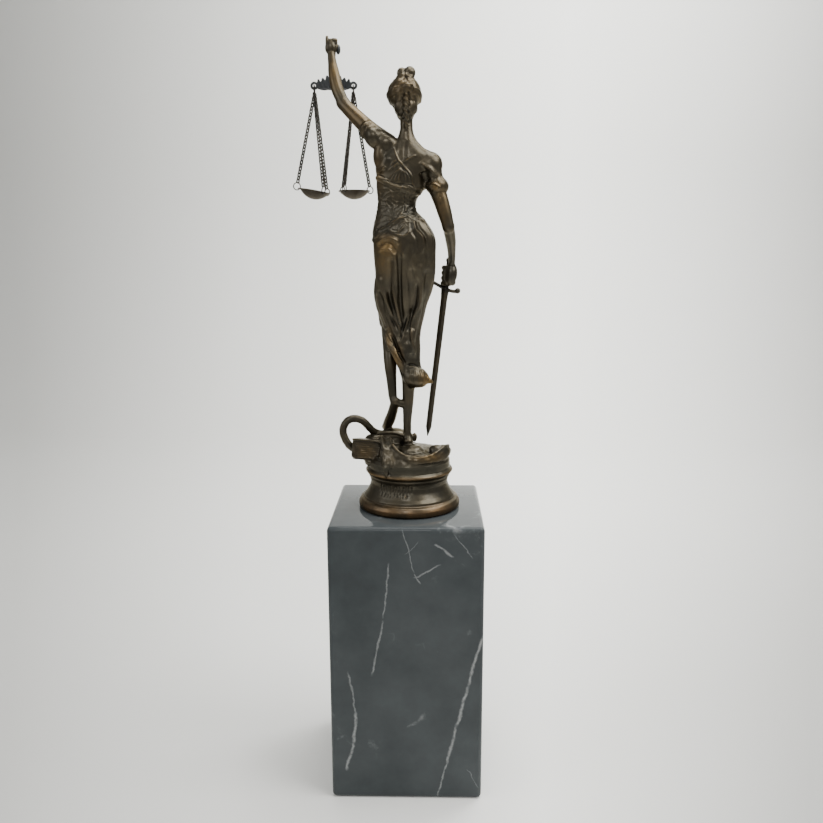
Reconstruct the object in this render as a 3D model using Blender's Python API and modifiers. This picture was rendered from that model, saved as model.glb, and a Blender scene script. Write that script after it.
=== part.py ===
"""Lady justice statue: a bronze figure seen with sword and scales on a marble plinth.

Frame: origin at the middle of the plinth's underside, +Z up, the figure's back towards -Y,
the sword at +X and the raised arm with the scales at -X.
"""
import math

import bmesh
import bpy
import numpy as np
from mathutils import Matrix, Vector

COLLECTION = "lady_justice_statue"

# Plinth
PLINTH_SIDE = 0.100
PLINTH_HEIGHT = 0.190
PLINTH_EDGE = 0.003
PLINTH_EDGE_STEPS = 2

# Figure: drawn FIGURE_UNITS tall, all its proportions are shares of its own height
FIGURE_HEIGHT = 0.308
FIGURE_UNITS = 308.0
FIGURE_VOXEL = 0.75
FIGURE_TRIANGLES = 5200
SMOOTH_ROUNDS = 4
SMOOTH_FACTOR = 0.5
LIMB_SIDES = 4
LIMB_STEPS = 6

# Fits
GAP = 0.0003
WELD = 0.00005

# Sword
SWORD_LENGTH = 0.1238
GRIP_RADIUS = 0.0013
BLADE_WIDTH = 0.0045
BLADE_THICKNESS = 0.0018
BLADE_TAPER = 0.0065
POMMEL_RADIUS = 0.0019
GUARD_AT = 0.0216
GUARD_HALF = 0.0095
GUARD_RADIUS = 0.0013
GUARD_BALL_RADIUS = 0.0020
COLLAR_LENGTH = 0.0062
COLLAR_WIDTH = 0.0056
COLLAR_THICKNESS = 0.0030

# Scales
BEAM_SPAN = 0.0259
BEAM_THICKNESS = 0.0018
BEAM_EYE_RADIUS = 0.0027
BEAM_HOLE_RADIUS = 0.0011
EYE_DROP = 0.0009
HOOK_RADIUS = 0.0009
PAN_RADIUS = 0.0106
PAN_BRIM = 0.0009
PAN_DEPTH = 0.0058
PAN_WALL = 0.0007
PAN_STEPS = 16
PAN_ARC = 52.0
LUG_REACH = 0.0102
LUG_RADIUS = 0.0014
LUG_THICKNESS = 0.0006
LUG_SINK = 0.00005
LUG_HOLE_RADIUS = 0.00075
RING_RADIUS = 0.0024
RING_WIRE = 0.00035
RING_RISE = 0.0012
TOP_RING_RADIUS = 0.0027
CHAIN_DROP = 0.0622
CHAIN_PITCH = 0.0021
CHAIN_WIDTH = 0.0024
CHAIN_THICKNESS = 0.0010
CHAIN_LEAN = 30.0
ANCHOR_SPREAD = 35.0

U = FIGURE_HEIGHT / FIGURE_UNITS


def fig(x, y, z):
    """A point of the figure: x and y from the plinth's axis, z above the plinth's top."""
    return Vector((x * U, y * U, PLINTH_HEIGHT + z * U))


# Materials

def material(name, colour, metallic, roughness):
    """A plain principled material."""
    mat = bpy.data.materials.new(name)
    mat.use_nodes = True
    bsdf = mat.node_tree.nodes["Principled BSDF"]
    bsdf.inputs["Base Color"].default_value = (*colour, 1.0)
    bsdf.inputs["Metallic"].default_value = metallic
    bsdf.inputs["Roughness"].default_value = roughness
    mat.diffuse_color = (*colour, 1.0)
    return mat


# Blender helpers

def link(obj, collection):
    """Put an object into one collection only."""
    for user in list(obj.users_collection):
        user.objects.unlink(obj)
    collection.objects.link(obj)
    return obj


def take(collection):
    """The object that the last operator made."""
    return link(bpy.context.object, collection)


def freeze(obj):
    """Write the object's own transform and modifiers into a new mesh."""
    graph = bpy.context.evaluated_depsgraph_get()
    mesh = bpy.data.meshes.new_from_object(obj.evaluated_get(graph))
    mesh.transform(obj.matrix_world)
    name = obj.name
    collection = obj.users_collection[0]
    bpy.data.objects.remove(obj)
    work = bmesh.new()
    work.from_mesh(mesh)
    bmesh.ops.remove_doubles(work, verts=work.verts, dist=WELD)
    bmesh.ops.recalc_face_normals(work, faces=work.faces)
    work.to_mesh(mesh)
    work.free()
    solid = bpy.data.objects.new(name, mesh)
    collection.objects.link(solid)
    return solid


def ball(name, centre, radii, collection, turn=(0.0, 0.0, 0.0), fine=3):
    """An ellipsoid."""
    bpy.ops.mesh.primitive_ico_sphere_add(subdivisions=fine, radius=1.0)
    obj = take(collection)
    obj.name = name
    obj.scale = radii
    obj.rotation_euler = turn
    obj.location = centre
    bpy.context.view_layer.update()
    return freeze(obj)


def tube(name, stations, collection, sides=4, ends=True, steps=6):
    """A bevelled curve through stations (point, radius), with rounded ends on request."""
    curve = bpy.data.curves.new(name, "CURVE")
    curve.dimensions = "3D"
    curve.bevel_depth = 1.0
    curve.bevel_resolution = sides
    curve.use_fill_caps = True
    curve.resolution_u = steps
    spline = curve.splines.new("NURBS")
    spline.points.add(len(stations) - 1)
    spline.order_u = min(3, len(stations))
    spline.use_endpoint_u = True
    for dot, (point, radius) in zip(spline.points, stations):
        dot.co = (*point, 1.0)
        dot.radius = radius
    obj = bpy.data.objects.new(name, curve)
    collection.objects.link(obj)
    bpy.context.view_layer.update()
    solid = freeze(obj)
    bpy.data.curves.remove(curve)
    if not ends:
        return [solid]
    caps = []
    for point, radius in (stations[0], stations[-1]):
        caps.append(ball(name + "_end", point, (radius, radius, radius), collection, fine=2))
    return [solid] + caps


def loft(name, sections, collection):
    """A closed loft between unlike sections, each an equal list of points."""
    work = bmesh.new()
    rows = []
    for section in sections:
        rows.append([work.verts.new(point) for point in section])
    count = len(rows[0])
    for low, high in zip(rows, rows[1:]):
        for i in range(count):
            j = (i + 1) % count
            work.faces.new((low[i], low[j], high[j], high[i]))
    work.faces.new(rows[0])
    work.faces.new(rows[-1])
    bmesh.ops.recalc_face_normals(work, faces=work.faces)
    mesh = bpy.data.meshes.new(name)
    work.to_mesh(mesh)
    work.free()
    obj = bpy.data.objects.new(name, mesh)
    collection.objects.link(obj)
    return obj


def oval(x, y, z, half_width, half_depth, count=28):
    """A level oval section of the figure."""
    points = []
    for i in range(count):
        angle = 2 * math.pi * i / count
        points.append(fig(x + half_width * math.cos(angle), y + half_depth * math.sin(angle), z))
    return points


def block(name, centre, size, collection, turn=(0.0, 0.0, 0.0), edge=0.0, steps=1):
    """A box with softened edges."""
    bpy.ops.mesh.primitive_cube_add(size=1.0)
    obj = take(collection)
    obj.name = name
    for vertex in obj.data.vertices:
        vertex.co = Vector(vertex.co[i] * size[i] for i in range(3))
    if edge > 0.0:
        bevel = obj.modifiers.new("edges", "BEVEL")
        bevel.width = edge
        bevel.segments = steps
        bevel.limit_method = "NONE"
    obj.rotation_euler = turn
    obj.location = centre
    bpy.context.view_layer.update()
    return freeze(obj)


def turned(name, profile, centre, steps, collection):
    """A Screw of a closed or axis-to-axis profile (radius, height) about a vertical axis."""
    work = bmesh.new()
    dots = [work.verts.new((radius, 0.0, height)) for radius, height in profile]
    for first, second in zip(dots, dots[1:]):
        work.edges.new((first, second))
    mesh = bpy.data.meshes.new(name)
    work.to_mesh(mesh)
    work.free()
    obj = bpy.data.objects.new(name, mesh)
    collection.objects.link(obj)
    screw = obj.modifiers.new("turn", "SCREW")
    screw.steps = steps
    screw.render_steps = steps
    screw.use_merge_vertices = True
    screw.merge_threshold = WELD
    obj.location = centre
    bpy.context.view_layer.update()
    return freeze(obj)


def join(name, objects, collection):
    """Bring several meshes into one object, as separate bodies."""
    work = bmesh.new()
    for obj in objects:
        work.from_mesh(obj.data)
        mesh = obj.data
        bpy.data.objects.remove(obj)
        bpy.data.meshes.remove(mesh)
    mesh = bpy.data.meshes.new(name)
    work.to_mesh(mesh)
    work.free()
    obj = bpy.data.objects.new(name, mesh)
    collection.objects.link(obj)
    return obj


def boolean(obj, other, operation):
    """A Boolean written into the mesh; the other object is used up."""
    step = obj.modifiers.new(operation, "BOOLEAN")
    step.solver = "EXACT"
    step.operation = operation
    step.object = other
    bpy.context.view_layer.update()
    graph = bpy.context.evaluated_depsgraph_get()
    mesh = bpy.data.meshes.new_from_object(obj.evaluated_get(graph))
    obj.modifiers.clear()
    old = obj.data
    obj.data = mesh
    bpy.data.meshes.remove(old)
    bpy.data.objects.remove(other)
    return obj


def apply_modifiers(obj):
    """Write the modifiers into the mesh."""
    bpy.context.view_layer.update()
    graph = bpy.context.evaluated_depsgraph_get()
    mesh = bpy.data.meshes.new_from_object(obj.evaluated_get(graph))
    obj.modifiers.clear()
    old = obj.data
    obj.data = mesh
    bpy.data.meshes.remove(old)
    return obj


def triangulate(obj):
    """Split every face into triangles."""
    obj.modifiers.new("all_triangles", "TRIANGULATE")
    return apply_modifiers(obj)


def finish(obj, mat, angle=math.radians(40)):
    """Smooth shading and the one material."""
    obj.data.materials.clear()
    obj.data.materials.append(mat)
    obj.data.shade_smooth()
    obj.data.set_sharp_from_angle(angle=angle)
    return obj


def cylinder(name, start, end, radius, sides, collection):
    """A straight cylinder between two points."""
    axis = end - start
    bpy.ops.mesh.primitive_cylinder_add(vertices=sides, radius=radius, depth=axis.length)
    obj = take(collection)
    obj.name = name
    turn = axis.to_track_quat("Z", "Y").to_matrix().to_4x4()
    obj.matrix_world = Matrix.Translation((start + end) / 2) @ turn
    bpy.context.view_layer.update()
    return freeze(obj)


def torus(name, centre, radius, wire, frame, collection, major=10, minor=5):
    """A ring whose axis is the third column of frame."""
    bpy.ops.mesh.primitive_torus_add(major_segments=major, minor_segments=minor,
                                     major_radius=radius, minor_radius=wire)
    obj = take(collection)
    obj.name = name
    obj.matrix_world = Matrix.Translation(centre) @ frame.to_4x4()
    bpy.context.view_layer.update()
    return freeze(obj)


# Sword: its own line through the right fist

SWORD_TOP = fig(27.9, 24.5, 166.6)
SWORD_TIP_AIM = fig(13.6, 19.6, 44.0)
SWORD_AXIS = (SWORD_TIP_AIM - SWORD_TOP).normalized()
SWORD_SIDE = Vector((0.0, 1.0, 0.0)).cross(SWORD_AXIS).normalized()
SWORD_FLAT = SWORD_AXIS.cross(SWORD_SIDE)


def along_sword(distance, side=0.0, flat=0.0):
    """A point on the sword: distance from the top of the pommel, to the side, off the flat."""
    return SWORD_TOP + SWORD_AXIS * distance + SWORD_SIDE * side + SWORD_FLAT * flat


def blade_section(distance, width, thickness):
    """A diamond section of the blade."""
    return [along_sword(distance, side=width / 2), along_sword(distance, flat=thickness / 2),
            along_sword(distance, side=-width / 2), along_sword(distance, flat=-thickness / 2)]


def blade_sections(extra):
    """The collar at the guard and the blade to its tip, wider all round by extra."""
    reach = COLLAR_LENGTH / 2
    rows = [(GUARD_AT - reach, COLLAR_WIDTH * 0.7, COLLAR_THICKNESS * 0.8),
            (GUARD_AT, COLLAR_WIDTH, COLLAR_THICKNESS),
            (GUARD_AT + reach, COLLAR_WIDTH * 0.9, COLLAR_THICKNESS * 0.8),
            (GUARD_AT + reach * 2, BLADE_WIDTH, BLADE_THICKNESS),
            (SWORD_LENGTH - BLADE_TAPER, BLADE_WIDTH * 0.86, BLADE_THICKNESS * 0.85),
            (SWORD_LENGTH, BLADE_WIDTH * 0.12, BLADE_THICKNESS * 0.3)]
    return [blade_section(distance, width + 2 * extra, thickness + 2 * extra)
            for distance, width, thickness in rows]


def make_sword(collection, mat):
    """Blade, guard, grip and pommel in one."""
    blade = loft("sword", blade_sections(0.0), collection)
    grip = cylinder("grip", along_sword(POMMEL_RADIUS), along_sword(GUARD_AT), GRIP_RADIUS, 12,
                    collection)
    pommel = ball("pommel", along_sword(POMMEL_RADIUS), (POMMEL_RADIUS,) * 3, collection, fine=2)
    guard_path = [(-1.0, -0.0042), (-0.86, -0.0036), (-0.5, -0.0022), (0.0, -0.0004),
                  (0.5, 0.0010), (0.85, 0.0006)]
    stations = []
    for share, rise in guard_path:
        stations.append((along_sword(GUARD_AT + rise, side=-share * GUARD_HALF), GUARD_RADIUS))
    guard = tube("guard", stations, collection, sides=1, ends=False, steps=2)[0]
    right = ball("guard_ball", along_sword(GUARD_AT, side=-GUARD_HALF * 0.9),
                 (GUARD_BALL_RADIUS,) * 3, collection, fine=2)
    left = ball("guard_curl", along_sword(GUARD_AT - 0.0037, side=GUARD_HALF),
                (GUARD_RADIUS * 1.25,) * 3, collection, fine=1)
    for piece in (grip, pommel, guard, right, left):
        blade = boolean(blade, piece, "UNION")
    return finish(blade, mat)


# Figure: the forms, all from fig() points

TORSO = [
    # height, x, y, half width, half depth
    (247.0, 0.0, 0.8, 3.9, 4.2),
    (241.0, 0.0, 0.2, 5.7, 5.0),
    (236.5, -0.1, -0.4, 9.4, 6.4),
    (233.0, -0.2, -0.6, 13.7, 7.4),
    (229.0, 0.3, -0.4, 18.7, 8.4),
    (224.0, 0.3, 0.4, 20.1, 9.6),
    (217.0, -1.4, 1.0, 18.0, 10.6),
    (210.0, -3.6, 1.0, 15.7, 10.6),
    (204.0, -5.8, 0.6, 12.7, 9.6),
    (199.0, -6.4, 0.2, 12.4, 9.2),
    (195.0, -6.2, -0.2, 13.4, 9.8),
    (190.0, -4.2, -0.8, 16.4, 11.2),
    (183.0, -2.6, -1.2, 19.4, 12.8),
    (177.0, -1.5, -1.2, 20.3, 13.6),
    (167.0, -1.3, -0.4, 20.1, 13.6),
    (156.0, -1.1, 1.2, 19.6, 13.2),
    (146.0, -2.1, 3.0, 18.9, 13.0),
    (136.0, -3.9, 4.4, 17.1, 12.6),
    (128.0, -3.5, 4.6, 14.8, 12.0),
    (120.0, -3.1, 4.0, 12.5, 11.0),
    (113.0, -2.9, 3.2, 11.4, 10.0),
    (106.0, -3.1, 2.6, 10.7, 8.8),
]

TRAIN = [
    (120.0, -0.9, 1.0, 9.1, 9.0),
    (108.0, 0.4, 0.6, 8.4, 8.4),
    (100.0, 1.0, 0.0, 7.7, 7.6),
    (93.0, 2.2, -0.8, 7.6, 7.2),
    (87.0, 3.8, -1.4, 7.2, 6.8),
    (82.0, 5.0, -1.6, 6.2, 6.0),
]

BASE_AXIS_X = 1.1
BASE_PROFILE = [
    (0.0, 0.0), (32.8, 0.0), (34.2, 1.2), (34.3, 4.0), (33.0, 6.4), (31.2, 7.4),
    (30.8, 8.6), (28.8, 11.0), (26.8, 14.5), (26.0, 17.5), (26.5, 20.5), (28.2, 23.4),
    (29.0, 25.2), (28.8, 26.6), (27.8, 28.4), (27.6, 31.0), (27.0, 34.0), (25.8, 37.0),
    (21.0, 38.6), (12.0, 39.6), (0.0, 40.2),
]


def limb(name, rows, collection):
    """A round limb through rows of x, y, z and radius."""
    return tube(name, [(fig(x, y, z), r * U) for x, y, z, r in rows], collection,
                sides=LIMB_SIDES, steps=LIMB_STEPS)


def lump(name, x, y, z, rx, ry, rz, collection, turn=(0.0, 0.0, 0.0)):
    """An ellipsoid of the figure."""
    return [ball(name, fig(x, y, z), (rx * U, ry * U, rz * U), collection, turn=turn)]


def head_forms(parts, collection):
    """Skull, face, hair and bun."""
    parts += lump("hair", -1.1, 1.8, 268.0, 10.8, 10.8, 10.2, collection)
    parts += lump("face", -1.0, 6.4, 263.6, 7.4, 8.0, 11.6, collection)
    parts += lump("jaw", -1.0, 7.6, 256.8, 5.6, 5.8, 5.2, collection)
    parts += lump("nape_hair", -0.1, -1.6, 259.0, 7.2, 6.4, 7.4, collection)
    parts += lump("bun_base", -0.7, 0.6, 276.0, 6.0, 5.2, 4.2, collection)
    parts += lump("bun_left", -2.9, 0.8, 279.6, 3.1, 3.2, 3.3, collection)
    parts += lump("bun_right", 2.0, 0.8, 279.8, 3.7, 3.7, 3.9, collection)
    parts += lump("nose", -1.0, 14.2, 261.6, 1.3, 2.0, 2.6, collection)
    parts += lump("knot", 1.0, -8.6, 269.6, 3.0, 2.3, 3.0, collection)
    parts += limb("tail", [(0.6, -8.0, 267.0, 2.0), (0.0, -8.4, 259.6, 1.8),
                           (-0.4, -6.4, 253.0, 1.7), (-0.2, -4.4, 247.0, 1.2)], collection)
    parts += limb("neck", [(-0.3, 2.4, 258.0, 4.4), (0.0, 1.2, 250.0, 3.8),
                           (0.1, 0.4, 241.0, 4.4)], collection)


def raised_arm(parts, collection):
    """The left arm, its hand and its sleeve."""
    parts += limb("left_upper_arm", [
        (-12.0, 0.0, 237.0, 6.8), (-21.6, 3.0, 244.6, 5.7), (-32.4, 8.6, 255.2, 4.6),
        (-41.7, 13.6, 264.5, 4.2)], collection)
    parts += limb("left_forearm", [
        (-39.8, 12.6, 262.7, 4.1), (-44.5, 15.8, 271.0, 4.1), (-46.9, 19.0, 281.0, 3.9),
        (-48.5, 22.6, 290.0, 3.1), (-49.2, 24.0, 295.4, 2.7)], collection)
    parts += lump("left_palm", -49.7, 24.8, 300.2, 3.7, 2.7, 4.6, collection)
    parts += limb("left_thumb", [(-47.8, 25.2, 298.4, 1.4), (-46.3, 26.4, 300.6, 1.25),
                                 (-45.9, 27.4, 302.2, 1.1)], collection)
    for offset, rise in ((-2.3, 1.0), (-0.4, 1.6), (1.5, 1.9), (3.1, 1.7)):
        parts += limb("left_finger", [(-49.4 + offset, 24.6, 303.0 + rise, 1.3),
                                      (-49.6 + offset, 27.0, 304.6 + rise, 1.2),
                                      (-49.5 + offset, 28.2, 301.4 + rise, 1.05)], collection)
    parts += limb("left_pointer", [(-51.9, 25.0, 302.4, 1.2), (-52.2, 25.2, 306.0, 1.1),
                                   (-52.0, 25.4, 307.4, 0.9)], collection)
    parts += lump("left_sleeve", -20.2, 1.6, 241.4, 6.2, 8.0, 7.8, collection,
                  turn=(0.0, -0.66, 0.0))
    parts += lump("left_shoulder", -12.8, 0.0, 236.9, 8.0, 6.8, 5.6, collection,
                  turn=(0.0, 0.5, 0.0))
    parts += limb("left_sleeve_band", [(-23.4, 1.0, 250.6, 1.2), (-26.4, -2.2, 249.0, 1.9),
                                       (-28.4, 0.6, 244.4, 1.9), (-27.0, 5.4, 241.6, 1.8),
                                       (-23.6, 6.6, 242.6, 1.2)], collection)
    parts += lump("left_flank", -15.8, 0.2, 230.0, 5.4, 6.6, 9.6, collection)


def sword_arm(parts, collection):
    """The right arm, its sleeve and its fist."""
    parts += lump("right_shoulder", 15.1, -0.6, 224.2, 7.9, 7.8, 8.4, collection)
    parts += limb("right_upper_arm", [
        (15.4, -0.8, 222.0, 6.8), (19.5, -1.8, 209.0, 5.3), (23.8, -3.6, 197.0, 4.7),
        (26.8, -4.4, 185.5, 4.0)], collection)
    parts += limb("right_forearm", [
        (26.6, -4.2, 186.4, 3.9), (28.2, 3.0, 180.0, 3.8), (29.2, 11.0, 173.0, 3.2),
        (29.6, 17.6, 166.8, 2.5), (29.7, 19.6, 163.4, 2.6)], collection)
    parts += lump("right_sleeve", 19.2, -1.2, 211.6, 7.8, 7.8, 6.4, collection,
                  turn=(0.0, 0.25, 0.0))
    parts += lump("right_fist", 29.0, 21.2, 155.4, 4.5, 4.8, 8.0, collection,
                  turn=(-0.1, 0.13, 0.0))
    parts += lump("fist_heel", 30.2, 21.6, 150.2, 2.4, 3.2, 2.6, collection)
    for step in range(4):
        middle = SWORD_TOP + SWORD_AXIS * ((7.2 + 3.5 * step) * U)
        reach = 3.7 - 0.14 * step
        ring = torus("right_finger", middle, (reach - 1.1) * U, 1.75 * U,
                     SWORD_AXIS.to_track_quat("Z", "Y").to_matrix(), collection, 16, 8)
        parts.append(ring)


def legs(parts, collection):
    """Thighs under the cloth, the bare left shin, the standing leg and both feet."""
    parts += limb("left_thigh", [
        (-9.0, 2.0, 174.0, 11.5), (-12.0, 9.0, 150.0, 9.6), (-13.4, 14.0, 131.0, 7.0),
        (-13.2, 14.6, 124.0, 6.2)], collection)
    parts += limb("left_shin", [
        (-12.8, 13.4, 127.0, 5.6), (-11.8, 6.6, 110.0, 4.8), (-11.4, 1.6, 97.0, 4.3),
        (-10.3, -0.8, 84.0, 3.1), (-9.6, -1.2, 74.0, 2.9)], collection)
    parts += limb("left_foot", [
        (-8.0, -3.0, 72.4, 3.2), (-9.9, 3.0, 64.0, 3.2), (-12.5, 9.2, 56.6, 3.8),
        (-14.6, 14.2, 52.0, 3.3), (-16.2, 17.2, 50.8, 2.2)], collection)
    parts += limb("heel_web", [(-7.6, -2.6, 71.8, 2.9), (-1.4, -1.4, 69.8, 2.7)], collection)
    parts += limb("right_leg", [
        (5.0, 1.0, 150.0, 10.0), (3.2, 1.8, 124.0, 6.4), (1.8, 0.0, 104.0, 5.4),
        (1.0, -1.2, 90.0, 4.9), (0.8, -1.2, 80.0, 4.2), (0.3, -1.0, 66.0, 3.3),
        (-0.3, -0.8, 56.0, 2.6), (0.2, -1.4, 47.0, 2.9)], collection)
    parts += limb("right_foot", [
        (0.6, -3.4, 45.0, 3.3), (0.2, 4.0, 47.4, 3.2), (-0.4, 13.0, 45.4, 3.4),
        (-0.8, 20.0, 43.8, 2.8), (-0.8, 23.4, 43.4, 2.0)], collection)


def dress(parts, collection):
    """Bust, hips, swags, hem and the small curls of the cloth."""
    parts.append(loft("torso", [oval(x, y, z, w, d) for z, x, y, w, d in TORSO], collection))
    parts.append(loft("train", [oval(x, y, z, w, d) for z, x, y, w, d in TRAIN], collection))
    for x in (-9.4, 6.2):
        parts += lump("bust", x, 8.8, 217.4, 6.8, 6.2, 6.6, collection)
    parts += limb("bodice_roll", [(-17.6, -6.0, 216.0, 2.0), (-8.0, -8.8, 211.4, 1.7),
                                  (2.0, -8.6, 207.6, 1.5), (8.4, -3.0, 206.0, 1.0)], collection)
    parts += limb("hip_swag", [(-20.4, -2.0, 178.0, 2.2), (-12.0, -11.6, 174.6, 2.6),
                               (0.0, -13.0, 180.0, 2.2), (7.0, -9.8, 187.0, 1.7),
                              (11.0, -4.0, 190.0, 1.2)], collection)
    parts += limb("hip_swag_low", [(-19.6, 1.0, 170.0, 2.0), (-12.0, -10.8, 166.0, 2.4),
                                   (-3.0, -12.8, 171.0, 2.0), (5.0, -10.4, 178.0, 1.2)], collection)
    parts += limb("side_fold", [(-19.6, 1.0, 153.0, 1.4), (-20.4, 2.0, 146.0, 1.9),
                                (-19.6, 3.4, 137.0, 1.8), (-17.0, 4.6, 128.0, 1.4)], collection)
    parts += lump("hem_puff", 6.6, -5.0, 91.0, 7.9, 6.0, 4.7, collection, turn=(0.0, 0.25, 0.0))
    parts += lump("hem_inner", -3.6, -1.4, 97.4, 3.4, 4.6, 3.6, collection)
    parts += limb("hem_tip", [(9.0, -6.0, 88.4, 3.8), (13.2, -6.0, 87.0, 2.4),
                              (16.6, -5.6, 86.0, 1.2)], collection)
    parts += limb("hem_edge", [(-15.4, 6.0, 121.0, 1.6), (-13.4, -3.4, 114.0, 1.7),
                               (-9.0, -6.4, 106.0, 1.8), (-4.4, -6.6, 98.0, 2.3),
                               (-0.2, -6.6, 91.0, 1.8)], collection)
    parts += limb("front_hem", [(-15.6, 16.0, 120.0, 1.9), (-8.0, 15.6, 110.0, 2.0),
                                (2.0, 9.8, 100.0, 2.0), (9.0, 4.0, 92.0, 1.8)], collection)


def snake_and_book(parts, collection):
    """The looped snake and the closed book at the left."""
    parts += limb("snake", [
        (-12.0, 17.0, 47.2, 2.3), (-18.0, 10.0, 46.8, 2.5), (-24.0, 7.0, 49.4, 2.6),
        (-30.8, 5.0, 58.6, 2.6), (-40.0, 3.4, 59.6, 2.6), (-44.8, 1.8, 52.0, 2.6),
        (-41.4, 0.8, 43.0, 2.6), (-35.8, 1.4, 37.6, 2.6), (-26.0, 6.0, 34.0, 2.6)], collection)
    parts += lump("snake_ground", -21.6, 8.6, 44.0, 8.0, 5.4, 4.0, collection)
    parts += limb("snake_front", [
        (-12.0, 17.0, 46.6, 2.2), (-6.0, 25.0, 40.0, 2.2), (6.0, 28.0, 34.0, 2.3),
        (18.0, 23.6, 32.0, 2.4), (26.6, 13.0, 34.4, 2.6)], collection)
    parts += lump("snake_head", 27.4, 10.6, 35.4, 2.6, 4.4, 2.4, collection)
    turn = (-0.20, 0.04, -0.20)
    parts.append(block("book_pages", fig(-25.2, -1.6, 39.2), (20.4 * U, 18.6 * U, 12.2 * U),
                       collection, turn))
    parts.append(block("book_spine", fig(-31.0, -0.6, 39.2), (10.4 * U, 18.9 * U, 13.4 * U),
                       collection, turn, edge=3.2 * U, steps=3))
    lift = 6.5
    for rise, thick in ((-lift, 2.2), (lift, 1.4)):
        parts.append(block("book_board", fig(-24.6, -1.8 - rise * 0.20, 39.2 + rise),
                           (21.0 * U, 19.2 * U, thick * U), collection, turn))


def rocks(parts, collection):
    """The turned base, the ground and the cloth over its edge."""
    profile = [(r * U, h * U) for r, h in reversed(BASE_PROFILE)]
    parts.append(turned("base", profile, fig(BASE_AXIS_X, 0.0, 0.0), 48, collection))
    parts += lump("ground_left", -13.0, 3.0, 35.0, 14.6, 19.0, 8.6, collection)
    parts += lump("book_foot", -24.4, -1.0, 31.6, 4.8, 10.0, 4.2, collection)
    parts += lump("ground_toes", -8.4, 10.0, 43.4, 10.6, 9.6, 8.0, collection)
    parts += lump("ground_right", 14.0, 2.0, 35.0, 14.0, 20.0, 4.6, collection)
    parts += limb("swag", [
        (-8.6, -17.0, 42.0, 2.0), (-6.0, -21.0, 37.0, 2.4), (-1.0, -24.0, 32.4, 2.7),
        (6.0, -25.4, 30.6, 2.8), (13.0, -23.6, 32.0, 2.7), (20.0, -18.0, 36.6, 2.6),
        (25.6, -11.0, 40.0, 2.4)], collection)
    parts += limb("swag_inner", [
        (-4.0, -15.0, 41.6, 2.2), (4.0, -17.4, 40.2, 2.2), (12.0, -14.0, 39.4, 2.2),
        (18.0, -8.0, 39.4, 2.2)], collection)
    parts += lump("ground_knob_a", 18.8, -9.6, 41.8, 4.2, 3.6, 2.6, collection)
    parts += lump("ground_knob_b", 24.8, -7.6, 41.4, 3.2, 4.0, 2.8, collection)
    parts += lump("leaf", 4.6, 2.6, 46.6, 2.0, 1.4, 3.2, collection)
    for x, y, low in ((-13.0, -22.0, 30.0), (-9.0, -24.6, 28.6), (-17.4, -18.6, 31.0)):
        parts += limb("hanging_fold", [(x, y, low, 1.8), (x + 0.6, y + 3.4, 37.0, 2.2),
                                       (x + 1.6, y + 8.0, 42.0, 1.8)], collection)


# Carved strokes on the back and the front: (side, width, depth, points of x and height)

STROKES = [
    ("back", 2.3, -1.7, [(-2.6, 166), (-3.2, 150), (-3.0, 134), (-2.2, 118)]),
    ("back", 2.0, 0.9, [(-6.4, 166), (-7.4, 150), (-6.8, 132), (-4.6, 118)]),
    ("back", 1.9, -1.1, [(-10.4, 164), (-11.2, 148), (-9.6, 132), (-6.0, 116)]),
    ("back", 2.0, 0.9, [(-16.8, 152), (-13.4, 136), (-8.0, 120), (-4.6, 110)]),
    ("back", 1.8, -1.1, [(-18.8, 144), (-15.4, 130), (-10.0, 117), (-6.0, 108)]),
    ("back", 2.4, 1.2, [(8.4, 160), (9.2, 148), (7.8, 132), (4.4, 120), (3.4, 106)]),
    ("back", 2.2, -1.2, [(4.0, 158), (4.0, 144), (2.4, 128), (0.6, 114)]),
    ("back", 2.4, -1.0, [(13.4, 156), (13.0, 142), (10.0, 128), (6.6, 114), (6.6, 100)]),
    ("back", 1.3, 0.7, [(-19.8, 180), (-10.0, 185), (0.0, 197)]),
    ("back", 1.4, -0.6, [(-0.6, 238), (-1.4, 224), (-3.4, 212)]),
    ("front", 2.4, -1.6, [(4.0, 176), (2.6, 150), (0.0, 124), (2.0, 104)]),
    ("front", 2.4, 1.2, [(9.0, 174), (8.0, 150), (5.6, 126), (6.0, 104)]),
    ("front", 2.2, -1.3, [(13.4, 170), (12.4, 150), (9.0, 128)]),
    ("front", 2.2, -1.3, [(-4.0, 176), (-6.0, 154), (-7.0, 132), (-5.0, 118)]),
    ("front", 2.2, 1.0, [(-9.0, 178), (-10.6, 158), (-11.6, 138)]),
]
BAND_HEIGHT = 265.4


def polyline_distance(points, path):
    """Least distance in the plane from each point to a path."""
    best = np.full(len(points), 1e9)
    for (x0, z0), (x1, z1) in zip(path, path[1:]):
        step = np.array([x1 - x0, z1 - z0])
        share = ((points - (x0, z0)) @ step) / (step @ step)
        share = np.clip(share, 0.0, 1.0)
        near = np.array([x0, z0]) + share[:, None] * step
        best = np.minimum(best, np.linalg.norm(points - near, axis=1))
    return best


def mesh_arrays(mesh):
    """Vertex places in metres and their normals."""
    count = len(mesh.vertices)
    places = np.empty(count * 3)
    mesh.vertices.foreach_get("co", places)
    places = places.reshape(-1, 3)
    normals = np.empty(count * 3)
    mesh.vertices.foreach_get("normal", normals)
    return places, normals.reshape(-1, 3)


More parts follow.
